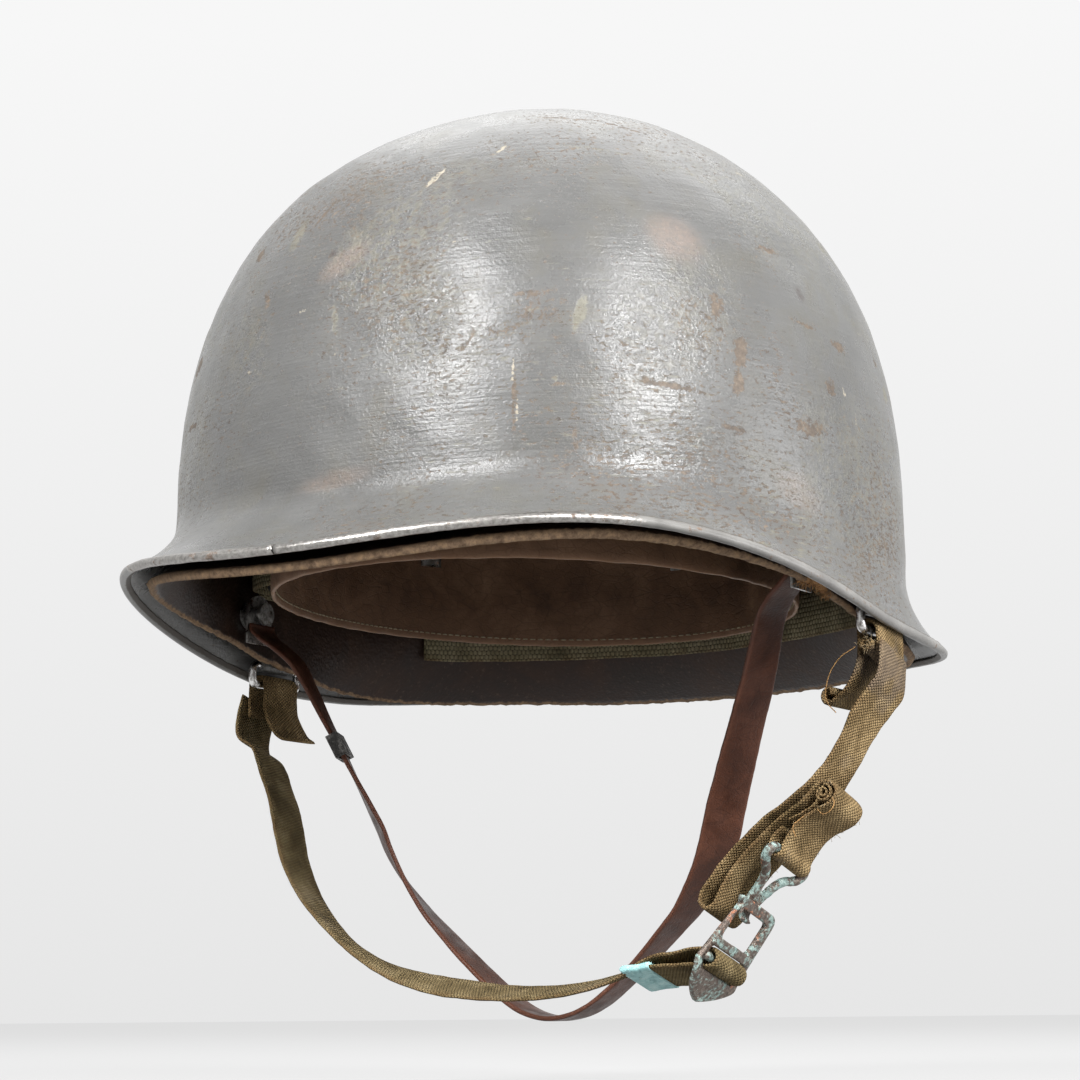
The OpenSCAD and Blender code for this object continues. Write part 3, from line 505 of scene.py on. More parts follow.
def rim_metal(name):
    """Folded edge band: thin grey paint with brown chips, worn to bare steel along the front."""
    p = Paint(name)
    chip = p.noise(330, 5, 0.72)
    fine = p.noise(900, 4, 0.6)
    slow = p.noise(60, 4, 0.6)
    paint = p.mix(p.span(slow, 0.35, 0.65), (0.13, 0.125, 0.118), (0.19, 0.185, 0.175))
    steel = p.mix(p.span(fine, 0.3, 0.7), (0.20, 0.19, 0.178), (0.40, 0.385, 0.365))
    worn = p.span(p.attr("bare") * 0.75 + (chip - 0.5) * 1.6, 0.34, 0.5)
    rust = p.span(chip + (slow - 0.5) * 0.5, 0.60, 0.65)
    # Darker along both edges of the fold, where the band meets the sheet
    dirt = p.span(p.attr("seam") + fine * 0.9, 0.72, 1.1)
    rust_tone = p.ramp(fine, (0.3, (0.06, 0.036, 0.025)), (0.7, (0.20, 0.13, 0.085)))
    color = p.mix(rust * 0.85, p.mix(worn, paint, steel), rust_tone)
    color = p.mix(dirt * 0.85, color, (0.055, 0.045, 0.036))
    cover = most(rust, dirt)
    p.bumps((fine, 0.35, 0.0003), (chip, 0.3, 0.0003))
    return p.done(color, p.span(slow, 0.3, 0.7, 0.30, 0.42) + cover * 0.3, worn * (1.0 - cover * 0.9))


def webbing(name, light, mid, dark, pitch=0.0009, weft=0.00068, stain=0.5):
    """Cotton web: lengthwise wales crossed by weft ribs, from the piece's own along and across measure."""
    p = Paint(name, rough=0.9, spec=0.12)
    measure = p.coords((1, 1, 1), uv=True)
    along = p.node("SeparateXYZ", 0, {0: measure}) + p.noise(330, 2) * 0.0005
    across = p.node("SeparateXYZ", 1, {0: measure}) + p.noise(260, 3) * 0.0007
    wale = p.calc("ABSOLUTE", p.calc("SINE", across * (math.pi / pitch)))
    shift = p.calc("FLOOR", across / pitch) * (math.pi / 2)
    rib = p.calc("ABSOLUTE", p.calc("SINE", along * (math.pi / weft / 1.6) + shift))
    height = p.calc("POWER", wale, 0.6) * 0.45 + p.calc("POWER", rib, 0.8) * 0.7
    fuzz = p.noise(3200, 3, 0.6)
    big = p.noise(95, 5, 0.62, distort=0.5)
    small = p.noise(700, 4, 0.65)
    color = p.ramp(big, (0.36, dark), (0.5, mid), (0.64, light))
    # Painted shade: darker where the weave is low, from the same height as its relief
    color = p.mix(p.span(height, 0.3, 1.05, 0.8, 0.0), color, scaled(dark, 0.45))
    color = p.mix(p.span(small, 0.5, 0.75, 0, 0.55), color, scaled(mid, 0.8))
    worn = p.attr("edge") * p.span(p.noise(200, 3), 0.35, 0.6)
    color = p.mix(worn * 0.55, color, (0.17, 0.10, 0.045))
    color = p.mix(p.span(p.noise(46, 3, 0.5), 0.56, 0.68, 0, stain), color, (0.15, 0.125, 0.115))
    # Painted shade in the low places of the fibre fuzz
    color = p.mix(p.span(fuzz, 0.35, 0.7, 0.18, 0), color, (0.03, 0.022, 0.015))
    p.bumps((height, 0.9, 0.0007), (fuzz, 0.35, 0.0002), (big, 0.5, 0.0012))
    return p.done(color, p.span(small, 0.3, 0.7, 0.82, 0.98))


def leather(name, dark, mid, light, gloss, crack=0.5):
    p = Paint(name, spec=0.24)
    fine = p.noise(900, 4, 0.6)
    lines = p.span(p.cells(170, p.coords((1, 1, 2.2)), "DISTANCE_TO_EDGE"), 0.0, 0.06, 1, 0)
    color = p.ramp(p.noise(60, 5, 0.65, distort=0.6), (0.28, dark), (0.5, mid), (0.75, light))
    color = p.mix(p.span(fine, 0.5, 0.8, 0, 0.5), color, dark)
    color = p.mix(p.span(p.noise(420, 5, 0.72), 0.62, 0.7, 0, 0.6), color, light)
    # Painted shade: the crack lines, sunk in the relief, are darkened too
    color = p.mix(lines * (0.5 * crack), color, scaled(dark, 0.4))
    color = p.mix(p.attr("edge") * 0.6, color, scaled(light, 1.7))
    p.bumps((p.cells(1500), 0.22, 0.00025), (1.0 - lines, 0.3 * crack, 0.0003), (fine, 0.35, 0.0002))
    return p.done(color, p.span(p.noise(140, 4), 0.3, 0.7, *gloss))


def brass(name, green, rusty):
    """Blackened brass gone brown, with verdigris that gathers in patches and hollows."""
    p = Paint(name)
    patchy = p.noise(190, 5, 0.66, distort=0.7)
    fine = p.noise(900, 4, 0.65)
    base = p.ramp(fine, (0.3, (0.05, 0.038, 0.032)), (0.5, (0.12, 0.092, 0.075)), (0.7, (0.21, 0.17, 0.14)))
    rust = p.span(p.noise(120, 4, 0.6) * 0.7 + (fine * 0.3 + p.attr("warm") * 0.22), 0.64 - 0.14 * rusty,
                  0.70 - 0.14 * rusty)
    color = p.mix(rust * 0.9, base, p.ramp(fine, (0.35, (0.20, 0.055, 0.02)), (0.65, (0.42, 0.14, 0.05))))
    patina = p.span(patchy * 0.72 + fine * 0.28, 0.60 - 0.22 * green, 0.68 - 0.2 * green)
    teal = p.ramp(fine, (0.28, (0.10, 0.15, 0.14)), (0.5, (0.21, 0.30, 0.28)), (0.72, (0.40, 0.52, 0.48)))
    p.bumps((fine, 0.5, 0.00035), (patchy, 0.35, 0.0004), (p.noise(2400, 2), 0.3, 0.00015))
    return p.done(p.mix(patina * 0.92, color, teal), p.span(patchy, 0.3, 0.7, 0.42, 0.6) + patina * 0.28,
                  (1.0 - most(patina, rust)) * 0.55)


def turquoise(name):
    p = Paint(name, rough=0.6)
    slow = p.noise(260, 5, 0.65, distort=0.5)
    fine = p.noise(1100, 4, 0.6)
    color = p.ramp(slow, (0.25, (0.16, 0.34, 0.35)), (0.48, (0.33, 0.60, 0.60)), (0.7, (0.55, 0.77, 0.75)))
    color = p.mix(p.span(fine, 0.55, 0.75, 0, 0.8), color, (0.12, 0.22, 0.21))
    color = p.mix(p.span(p.noise(150, 4, 0.6), 0.60, 0.68, 0, 0.8), color, (0.42, 0.35, 0.24))
    p.bumps((slow, 0.5, 0.0005), (fine, 0.4, 0.0002))
    return p.done(color, p.span(fine, 0.3, 0.7, 0.45, 0.72))


def liner_stuff(name):
    """Resin-soaked canvas: dark varnished brown, painted darker still as shade inside the pot, with raw fibre along the
    cut edge and pale fibre where torn.
    """
    p = Paint(name, spec=0.22)
    big = p.noise(38, 5, 0.62, distort=0.6)
    fine = p.noise(650, 4, 0.65)
    # Near-black browns: the liner's dark varnish together with painted shade of the pot's inside
    color = p.ramp(big, (0.28, (0.010, 0.0055, 0.0035)), (0.5, (0.022, 0.0105, 0.0065)), (0.72, (0.042, 0.021, 0.012)))
    color = p.mix(p.span(fine, 0.55, 0.8, 0, 0.6), color, (0.115, 0.075, 0.05))
    raw = p.ramp(p.noise(520, 4, 0.7), (0.3, (0.11, 0.07, 0.045)), (0.5, (0.24, 0.16, 0.10)), (0.7, (0.38, 0.25, 0.14)))
    edge = p.span(p.attr("raw") + p.noise(500, 4) * 0.5, 0.62, 0.85)
    torn = p.span(p.attr("torn") + p.noise(600, 4) * 0.5, 0.6, 0.8)
    torn_tone = p.ramp(fine, (0.3, (0.26, 0.12, 0.04)), (0.7, (0.62, 0.36, 0.17)))
    p.bumps((p.cells(900), 0.3, 0.0003), (fine, 0.35, 0.0003))
    return p.done(p.mix(torn, p.mix(edge, color, raw), torn_tone), p.span(big, 0.3, 0.7, 0.34, 0.5) + edge * 0.4)


def thread(name, dark, light):
    p = Paint(name, rough=0.85, spec=0.2)
    n = p.noise(1400, 3)
    p.bumps((p.noise(2600, 2), 0.4, 0.0002))
    return p.done(p.ramp(n, (0.3, dark), (0.7, light)), p.span(n, 0.3, 0.7, 0.75, 0.95))


M_SHELL = shell_paint("grey_repaint", True)
M_LUG = shell_paint("grey_repaint_small", False)
M_RIM = rim_metal("worn_rim_steel")
M_BAIL = worn_steel("bright_wire", 0.3, (0.72, 0.71, 0.70), (0.16, 0.14, 0.12), 0.25, (0.16, 0.36))
M_STEEL = worn_steel("dull_steel", 0.55, (0.46, 0.45, 0.43), (0.11, 0.10, 0.09), 0.4)
M_BLACK = worn_steel("blackened_steel", 0.95, (0.22, 0.21, 0.20), (0.035, 0.033, 0.03), 0.25, (0.35, 0.6))
M_WEB = webbing("chin_webbing", (0.455, 0.325, 0.165), (0.295, 0.203, 0.098), (0.155, 0.106, 0.046))
M_WEB_OLIVE = webbing("chin_webbing_olive", (0.34, 0.262, 0.138), (0.235, 0.177, 0.086), (0.13, 0.096, 0.044),
                      stain=0.15)
M_INNER = webbing("inner_webbing", (0.40, 0.35, 0.225), (0.29, 0.255, 0.155), (0.18, 0.155, 0.092), 0.0016, 0.0010, 0.2)
M_LEATHER = leather("strap_leather", (0.022, 0.008, 0.005), (0.044, 0.016, 0.009), (0.088, 0.034, 0.020), (0.33, 0.55))
M_SWEAT = leather("sweatband_leather", (0.045, 0.022, 0.012), (0.10, 0.052, 0.028), (0.19, 0.11, 0.065), (0.4, 0.65),
                  0.7)
M_BRASS = brass("verdigris_brass", 0.55, 0.25)
M_BUCKLE = brass("verdigris_buckle", 0.5, 0.35)
M_TIP = turquoise("turquoise_patina")
M_LINER = liner_stuff("fibre_liner")
M_THREAD = thread("ochre_thread", (0.17, 0.09, 0.03), (0.38, 0.22, 0.09))
M_FIBRE = thread("web_fibre", (0.17, 0.125, 0.07), (0.40, 0.31, 0.19))
M_LACE = thread("waxed_lace", (0.05, 0.035, 0.02), (0.12, 0.085, 0.05))
M_STITCH = thread("linen_stitch", (0.24, 0.2, 0.13), (0.48, 0.42, 0.3))


def shown(ob, body, slot_name, *nodes):
    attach(ob, body)
    if nodes:
        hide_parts(*nodes)
    return ob


def repaint(ob, material):
    if not ob.material_slots:
        ob.data.materials.append(material)
    for s in ob.material_slots:
        s.material = material


NEAR, FAR = 600, 1050  # Range of the wall from the camera, in millimetres


def hit(px, py):
    """Where a ray through a point of the picture meets the pot's wall."""
    d = unit(cam_x * (px - PIXELS / 2) - cam_y * (py - PIXELS / 2) - back * FOCAL)
    t = np.arange(NEAR, FAR, 0.25)
    q = cam_at + t[:, None] * d
    a = np.arctan2(q[:, 0], -q[:, 1])
    f = np.hypot(q[:, 0], q[:, 1]) - wall_r(a, np.clip(q[:, 2], -5, SHELL_H), 0)
    return q[np.nonzero((f < 0) & (q[:, 2] < SHELL_H) & (q[:, 2] > rim_z(a)))[0][0]]


# Marks by kind: centre and half sizes in the photograph's pixels, turn in degrees, strength
MARKS = {
    "cream": [(513, 372, 3, 12, 2, 0.9), (516, 412, 2.6, 16, 3, 0.75), (511, 450, 2.2, 9, 0, 0.6),
        (717, 318, 5, 3, 0, 0.6), (435, 178, 3, 22, 48, 0.7), (305, 310, 7, 2, 10, 0.6), (333, 356, 8, 2, 0, 0.6),
        (248, 375, 9, 3, 0, 0.6), (410, 443, 14, 1.6, 0, 0.5), (495, 470, 20, 1.6, 0, 0.4),
        (856, 420, 2, 12, -8, 0.5), (500, 150, 3, 14, 40, 0.6), (665, 170, 16, 2, 22, 0.5), (540, 362, 6, 2, 0, 0.5),
        (455, 242, 7, 2, 10, 0.6)],
    "olive": [(580, 313, 8, 25, 14, 0.62), (885, 395, 5, 14, 0, 0.6), (335, 320, 6, 26, 0, 0.5),
        (600, 150, 64, 7, 6, 0.42), (820, 440, 8, 26, 0, 0.45), (480, 168, 46, 3, 6, 0.55),
        (700, 180, 44, 8, 25, 0.4), (300, 235, 8, 30, 38, 0.5), (555, 380, 5, 5, 0, 0.7),
        (540, 372, 3, 8, 20, 0.5)],
    "rust": [(514, 400, 4, 48, 0, 0.42), (716, 305, 10, 16, 0, 0.45), (740, 352, 8, 22, 0, 0.56),
        (738, 385, 7, 14, 0, 0.56), (668, 386, 36, 3.5, 4, 0.55), (640, 372, 20, 2.5, 0, 0.45),
        (700, 390, 12, 4, 0, 0.45), (525, 291, 30, 2.5, 2, 0.45), (468, 342, 12, 2.5, -50, 0.5),
        (560, 118, 34, 3, 8, 0.6), (620, 126, 34, 3, 12, 0.6), (735, 428, 18, 4, 4, 0.5), (325, 215, 16, 3, -38, 0.5),
        (560, 385, 14, 2.5, 0, 0.4), (575, 440, 5, 14, 0, 0.42), (445, 345, 10, 4, 0, 0.4),
        (268, 300, 5, 16, 0, 0.42), (540, 310, 44, 22, 0, 0.30), (505, 330, 22, 10, 0, 0.34),
        (700, 330, 44, 50, 0, 0.27), (262, 255, 5, 12, 40, 0.5), (405, 443, 12, 2, -4, 0.5)],
    # Pink patches are painted reflections, not paint
    "pink_reflection": [(345, 262, 26, 15, -10, 0.75), (675, 238, 28, 26, 20, 0.75), (335, 480, 36, 9, -6, 0.6),
        (800, 492, 24, 18, 20, 0.45)],
    "dark": [(800, 295, 6, 4, 30, 0.7), (333, 255, 3.5, 4.5, 0, 1.0), (362, 217, 3, 2.5, 0, 0.8),
        (566, 470, 3, 2, 0, 0.7), (382, 470, 3, 2, 0, 0.6)],
    "brushed": [(392, 240, 62, 62, -35, 1.0), (420, 310, 44, 60, 0, 0.8), (250, 350, 22, 60, 10, 0.55),
        (660, 330, 46, 60, 0, 0.55), (700, 300, 40, 70, 10, 0.4), (440, 190, 70, 22, -30, 0.5)],
}
# Marks on the far side by kind: how many, size in millimetres, strength
# The pink ones are painted reflections
FAR_MARKS = (("rust", 60, 3.4, 0.5), ("olive", 26, 6, 0.5), ("cream", 30, 1.8, 0.65), ("pink_reflection", 7, 9, 0.6),
             ("brushed", 9, 26, 0.8))


def mark_values(p):
    """Strength of each kind of mark at points p: those of the photograph, then seeded ones on the far side."""
    out = {k: np.zeros(len(p)) for k in MARKS}

    def dab(kind, near, lx, ly, strength, edge):
        out[kind][near] = np.maximum(out[kind][near], strength * np.exp(-((lx ** 2 + ly ** 2) ** edge)))

    for kind, marks in MARKS.items():
        for px, py, rx, ry, turn, strength in marks:
            at = hit(px, py)
            n = unit(at - arr([0, 0, 40]))
            e1 = unit(cam_x - n * (cam_x @ n))
            e2 = np.cross(n, e1)
            e1, e2 = e1 * cosd(turn) - e2 * sind(turn), e1 * sind(turn) + e2 * cosd(turn)
            d = p - at
            near = np.abs(d).max(1) < 90
            k = (cam_at - at) @ back / FOCAL
            lx = (d[near] @ e1) / (rx * k / max(0.35, abs(cam_x @ e1)))
            dab(kind, near, lx, (d[near] @ e2) / (ry * k), strength, 2.5)
    g = np.random.default_rng(21)
    for kind, count, size, power in FAR_MARKS:
        for _ in range(count):
            a, z = g.uniform(1.25, 5.6), g.uniform(30, 172)
            d = p - on_wall(arr(a), arr(z))
            near = np.abs(d).max(1) < 40
            sx, sy = size * g.uniform(0.7, 3.2), size * g.uniform(0.4, 1.3)
            lx = d[near] @ arr([math.cos(a), math.sin(a), 0]) / sx
            dab(kind, near, lx, d[near][:, 2] / sy, power * g.uniform(0.7, 1.1), 1.5)
    return out


def sheet_rows(lift, dome_rows, flare_rows, less, crown, side, angles):
    """Rows of a pressed sheet from the crown to the edge, each point deeper than the outer wall."""
    top = rim_z(angles) + FLARE_H
    rows = [SHELL_H - (SHELL_H - top) * (1 - math.cos(math.pi / 2 * i / dome_rows)) for i in range(1, dome_rows + 1)]
    low = edge_level(angles, lift)
    rows += [top + (low - top) * i / flare_rows for i in range(1, flare_rows + 1)]
    z = np.stack(rows)
    a = np.broadcast_to(angles, z.shape)
    deep = side + (crown - side) * ease(dome_part(z))
    return inside(a, z, less, deep), a, z


def closed_angles(n):
    return np.arange(n) * 2 * np.pi / n


def dents(p, a, z, small):
    """Slow dents of the pot at points p and smaller ones between, none at the rim."""
    p = p.reshape(-1, 3)
    dent = 0.26 * waves(p, 62, 11, 3).reshape(z.shape) + small * waves(p, 15, 12, 2).reshape(z.shape)
    return (dent * ease((z - rim_z(a) - 3) / 14))[..., None] * wall_normal(a, z)


# Steel pot, with slow dents, and its folded edge band
SHELL_COLS, DOME_ROWS, FLARE_ROWS, MEAN_R = 640, 104, 30, 115
angles = closed_angles(SHELL_COLS)
outer, oa, oz = sheet_rows(BAND_T + BAND_GAP, DOME_ROWS, FLARE_ROWS, 0, 0, 0, angles)
outer = outer + dents(outer, oa, oz, 0.10)
inner, ia, iz = sheet_rows(BAND_T + BAND_GAP, DOME_ROWS // 2, FLARE_ROWS // 2, 0, STEEL, STEEL, angles)
inner = inner + dents(on_wall(ia, iz), ia, iz, 0)
rows_all = np.concatenate([outer, inner[::-1]])
uv_a = np.append(angles, 2 * np.pi) * MEAN_R
uv_z = np.concatenate([oz, iz[::-1]])
uv_z = np.concatenate([uv_z, uv_z[:, :1]], 1)
shell_uv = np.stack([np.broadcast_to(uv_a, uv_z.shape), uv_z], -1) * MM
values = mark_values(rows_all.reshape(-1, 3))
shell = grid("shell_skin", rows_all, M_SHELL, (False, True), shell_uv,
             [[0, 0, SHELL_H], [0, 0, SHELL_H - STEEL]], False, values, flip=True)
shown(shell, "shell", "shell_paint", "steel_shell")

SEAM_GAP = 0.0028  # Half the gap between the band's two ends, in radians
rim_a = np.linspace(SEAM_GAP, 2 * np.pi - SEAM_GAP, 620)
mid, fold_in = STEEL / 2, STEEL / 2 + BAND_GAP
fold_out = fold_in + BAND_T
arc = np.linspace(np.pi, 0, 11)
# One leg of the fold, up its outside and down its inside: level and distance from the sheet's middle
leg = [(BAND_H * 0.6, fold_out), (BAND_H - 0.5, fold_out), (BAND_H - 0.1, fold_out - 0.08),
       (BAND_H, fold_out - 0.35), (BAND_H - 0.1, fold_in + 0.05), (BAND_T + 0.5, fold_in)]
profile = [(z, mid - d) for z, d in leg[2::-1]]
profile += [(fold_out - fold_out * math.sin(t), mid + fold_out * math.cos(t)) for t in arc]
profile += [(z, mid + d) for z, d in leg] + [(BAND_T, mid)] + [(z, mid - d) for z, d in leg[:2:-1]]
at_rim = on_wall(rim_a, rim_z(rim_a) + 1)
wob = 0.07 * waves(at_rim, 7, 31) + 0.05 * waves(at_rim, 24, 32)
ragged = 0.12 * waves(at_rim, 5, 33)
rim_p = np.stack([inside(rim_a, edge_level(rim_a, up_by + (ragged if up_by > 2.4 else 0)), 0,
                         deep_by + wob * (1 if deep_by < mid else -1)) for up_by, deep_by in profile], 1)
# Bare steel along the front, from 38 degrees on the wearer's right to 50 on the left; darker where the fold ends
bare = np.maximum(ease((50 - np.degrees(rim_a)) / 14), ease((np.degrees(rim_a) - 322) / 12))
seam = [1 - ease(min(k, len(profile) - 10 - k if k < len(profile) - 9 else 0) / 2.2) for k in range(len(profile))]
wear = dict(zip(("bare", "seam"), np.broadcast_arrays(bare[:, None], arr(seam)[None])))
rim = grid("rim_skin", rim_p, M_RIM, caps=True, attrs=wear, flip=True)
shown(rim, "shell", "rim_steel", "rim_band")

# Fibre liner with its raw edge, and the torn place above the wearer's left cheek
tear = hit(836, 560)
tear_a = math.atan2(tear[0], -tear[1])
LINER_COLS = 720
angles = closed_angles(LINER_COLS)
at_edge = on_wall(angles, rim_z(angles))
away = np.abs((angles - tear_a + np.pi) % (2 * np.pi) - np.pi)
torn_here = np.exp(-(away / 0.055) ** 2)
nibble = 0.35 * waves(at_edge, 6, 41) + 0.2 * waves(at_edge, 2.2, 42)
nibble = nibble + torn_here * (0.9 + 0.8 * waves(at_edge, 1.6, 43))
l_out = sheet_rows(LINER_UP + nibble, 34, 16, RELIEF, STEEL + CROWN_GAP, STEEL + SIDE_GAP, angles)[0]
l_in = sheet_rows(LINER_UP + nibble, 34, 16, RELIEF, STEEL + CROWN_GAP + LINER_T, LINER_IN, angles)[0]
l_mid = (l_out[-1] + l_in[-1]) / 2 + arr([0, 0, -0.35])
l_rows = np.concatenate([l_out, l_mid[None], l_in[::-1]])
from_edge = np.abs(np.arange(len(l_rows)) - len(l_out))
raw = np.repeat(np.clip(1.25 - 0.5 * from_edge, 0, 1)[:, None], LINER_COLS, 1)
torn = torn_here[None] * np.clip(1.4 - 0.3 * from_edge, 0, 1)[:, None]
liner = grid("liner_skin", l_rows, M_LINER, (False, True), None,
             [[0, 0, SHELL_H - STEEL - CROWN_GAP], [0, 0, SHELL_H - STEEL - CROWN_GAP - LINER_T]], False,
             {"raw": raw, "torn": torn}, flip=True)
shown(liner, "liner", "liner_fibre", "liner_shell")

strands = []
edge_at = np.where(torn_here > 0.2)[0]
for _ in range(150):
    k = int(rng.choice(edge_at))
    p0 = l_mid[k] + rng.normal(size=3) * 0.5
    along = unit(l_mid[(k + 2) % LINER_COLS] - l_mid[(k - 2) % LINER_COLS])
    d = unit(along * rng.choice([-1, 1]) + rng.normal(size=3) * 0.6)
    half_way = p0 + d * 0.8 + rng.normal(size=3) * 0.2
    strands.append([p0, half_way, p0 + d * 1.7 + arr([0, 0, -0.2]) + rng.normal(size=3) * 0.35])
torn_canvas = thread("torn_canvas", (0.22, 0.11, 0.045), (0.60, 0.36, 0.18))
shown(fibres("liner_torn_fibres", strands, torn_canvas, 0.09, 4), "liner", "liner_fibre")


# Headband, suspension and sweatband, on the same routes as the CAD
def web_point(a, deep):
    return inside(a, RIVET_Z + WEB_W / 2, RELIEF, deep)


def head_at(a, out):
    r = 1 / np.sqrt((np.sin(a) / (HEAD_W / 2)) ** 2 + (np.cos(a) / (HEAD_L / 2)) ** 2) + out
    return np.stack([r * np.sin(a), -r * np.cos(a)], -1)


def at_level(xy, z):
    return np.concatenate([xy, np.full((len(xy), 1), z)], 1)


def inner_web(name, route, wide, w, step, swell, seed, *nodes, closed=False):
    ob = band(name, route, wide, w, WEB_T, M_INNER, step, closed, 0.2, 0.1, swell, seed)
    return shown(ob, "liner", "inner_web", *nodes)


WEB_GAP, SEAT = 0.3, 0.05
leg_deep = LINER_IN + WEB_GAP + WEB_W * WEB_W / 640 + WEB_T / 2
band_deep = leg_deep + WEB_T + SEAT
step_a = 2 * np.pi / RIVETS
a = closed_angles(144)
off = np.degrees(np.abs(a % step_a - step_a / 2))
at_rivet = (1 - ease((off - 8) / 16))[:, None]
xy = head_at(a, SWEAT_T / 2 + WEB_GAP + WEB_T / 2) * (1 - at_rivet) + web_point(a, band_deep)[:, :2] * at_rivet
inner_web("headband_weave", at_level(xy, RIVET_Z), UP, WEB_W - 2, 1.6, 0.04, 51, "headband_web", closed=True)

LACE_Z, NARROWED = SHELL_H - 27, 0.55
wrap = LACE_D / 2 + WEB_GAP + (LACE_R - math.sqrt(LACE_R ** 2 - (WEB_W * NARROWED / 2) ** 2)) + WEB_T / 2
web_top, top_z = RIVET_Z + WEB_W / 2, LACE_Z + wrap
for i in range(RIVETS):
    a = (i + 0.5) * step_a
    foot = web_point(a, leg_deep)
    r0 = math.hypot(foot[0], foot[1])
    pts = [(r0, RIVET_Z - WEB_W / 2)]
    pts += [(LACE_R + (r0 - LACE_R) * cosd(t) ** 0.9, web_top + (top_z - web_top) * sind(t)) for t in range(0, 82, 9)]
    pts += [(LACE_R - wrap * cosd(t), LACE_Z + wrap * sind(t)) for t in range(90, -91, -30)]
    pts += [(LACE_R + 8, LACE_Z - wrap - 0.6), (LACE_R + 16, LACE_Z - wrap - 1.6)]
    route = [(r * math.sin(a), -r * math.cos(a), z) for r, z in pts]
    n = wall_normal(arr(a), arr(web_top), RELIEF)
    rise = [float(ease((z - RIVET_Z - 40) / (LACE_Z - RIVET_Z - 50))) for r, z in pts]
    by_wall, by_lace = arr([-n[1], n[0], 0]), arr([math.cos(a), math.sin(a), 0])
    wide = [unit(by_wall * (1 - s) + by_lace * s) * (1 + (NARROWED - 1) * s) for s in rise]
    node = ["suspension_webs"] if i == 0 else []
    inner_web("suspension_weave_%d" % i, route, wide, WEB_W, 1.4, 0.04, 60 + i, *node)

# Crown lace: three plaited strands
t = np.linspace(0, 2 * np.pi, 240, endpoint=False)
for j in range(3):
    ph = t * 22 + j * 2 * np.pi / 3
    r = LACE_R + 0.62 * np.cos(ph)
    strand = tube_rows(np.stack([r * np.cos(t), r * np.sin(t), LACE_Z + 0.62 * np.sin(ph)], -1), 0.86, 8, 0.9, True)
    ob = grid("crown_lace_strand_%d" % j, strand, M_LACE, (True, True))
    shown(ob, "liner", "lace_cord", *(["crown_lace"] if j == 0 else []))

sweat_route = at_level(head_at(closed_angles(180), 0), SWEAT_Z + SWEAT_H / 2)
shown(band("sweatband_leather", sweat_route, UP, SWEAT_H, SWEAT_T, M_SWEAT, 1.7, True, 0.12, 0.15, 0.10, 71),
      "liner", "sweat_leather", "sweatband")
STITCHES, STITCH_IN = 210, 2.2
stitches = []
out = -SWEAT_T / 2 - 0.05
for z in (SWEAT_Z + STITCH_IN, SWEAT_Z + SWEAT_H - STITCH_IN):
    for k in range(STITCHES):
        a0, a1 = 2 * np.pi * k / STITCHES, 2 * np.pi * (k + 0.62) / STITCHES
        ends = ((a0, -0.15), (a0 + 0.2 * (a1 - a0), 0.12), (a0 + 0.8 * (a1 - a0), 0.12), (a1, -0.15))
        stitches.append([np.append(head_at(arr(x), out - lift), z) for x, lift in ends])
shown(fibres("sweatband_stitching", stitches, M_STITCH, 0.22, 5), "liner", "sweat_leather")

neck_z, neck_w = 22, 15
neck_deep = LINER_IN + WEB_GAP + 0.245 + WEB_T / 2
deg = np.arange(126, 235, 3.0)
near = (np.abs((np.abs(deg - 180) + 25) % 50 - 25) - 3) / 14
q = inside(np.radians(deg), neck_z + neck_w / 2, RELIEF, neck_deep + 3.4 * ease(near))
inner_web("neckband_weave", at_level(q[:, :2], neck_z), UP, neck_w, 1.2, 0.05, 75, "neckband")


# Chin strap, in the plane that leans forward from the bail bars
def lean(p):
    p = arr(p)
    c, s = math.cos(LEAN), math.sin(LEAN)
    return np.stack([p[..., 0], BAR_Y + p[..., 1] * c + p[..., 2] * s, BAR_Z - p[..., 1] * s + p[..., 2] * c], -1)


def lean2(pts, x0=0.0):
    return lean([[x0 + p[0], 0, p[1]] for p in pts])


ACROSS = arr([0, math.cos(LEAN), -math.sin(LEAN)])
BLEND_X, BLEND_TOP, BLEND_END = 114, -7, -17.5  # where the loop's bend begins and ends, in the strap's plane


def chin_web(name, node, side, route, wide, seed, wander, swell=0.10, material=M_WEB, step=0.7):
    """Part of the chin strap, one band along its route."""
    ob = band(name, route, wide, STRAP_W, STRAP_T, material, step, False, 0.28, wander, swell, seed, round_ends=True)
    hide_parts(node)
    start, end = [tuple(lean([side * BLEND_X, 0, z]) * MM) for z in (BLEND_TOP, BLEND_END)]
    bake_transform(ob)


def arc_points(centre, r, turns):
    return [list(centre + r * arr([cosd(t), sind(t)])) for t in turns]


LOOP = [[-10.5, -19.5], [-7.5, -17.5], [-4.4, -13], [-2.6, -8.5], [-2.4, -4], [-2.4, 0.2], [-1.9, 1.6], [-0.6, 2.7],
        [1.1, 2.9], [2.7, 2.1], [3.6, 0.6], [3.7, -1], [3.7, -5], [3.7, -11]]
CURL = [[-12.4, -18.6], [-11.7, -17.6], [-12.6, -16.6], [-14.2, -17.2], [-14.9, -19.2], [-13.9, -21.0], [-12.2, -20.8]]
for side, name, route in ((1, "left", CURL + LOOP), (-1, "right", LOOP)):
    q = [[side * (HINGE_X + p[0]), BAR_Y, BAR_Z + p[1]] for p in route]
    chin_web(name + "_loop_web", name + "_strap_loop", side, q, [0, 1, 0], 80 + side, 0.22)

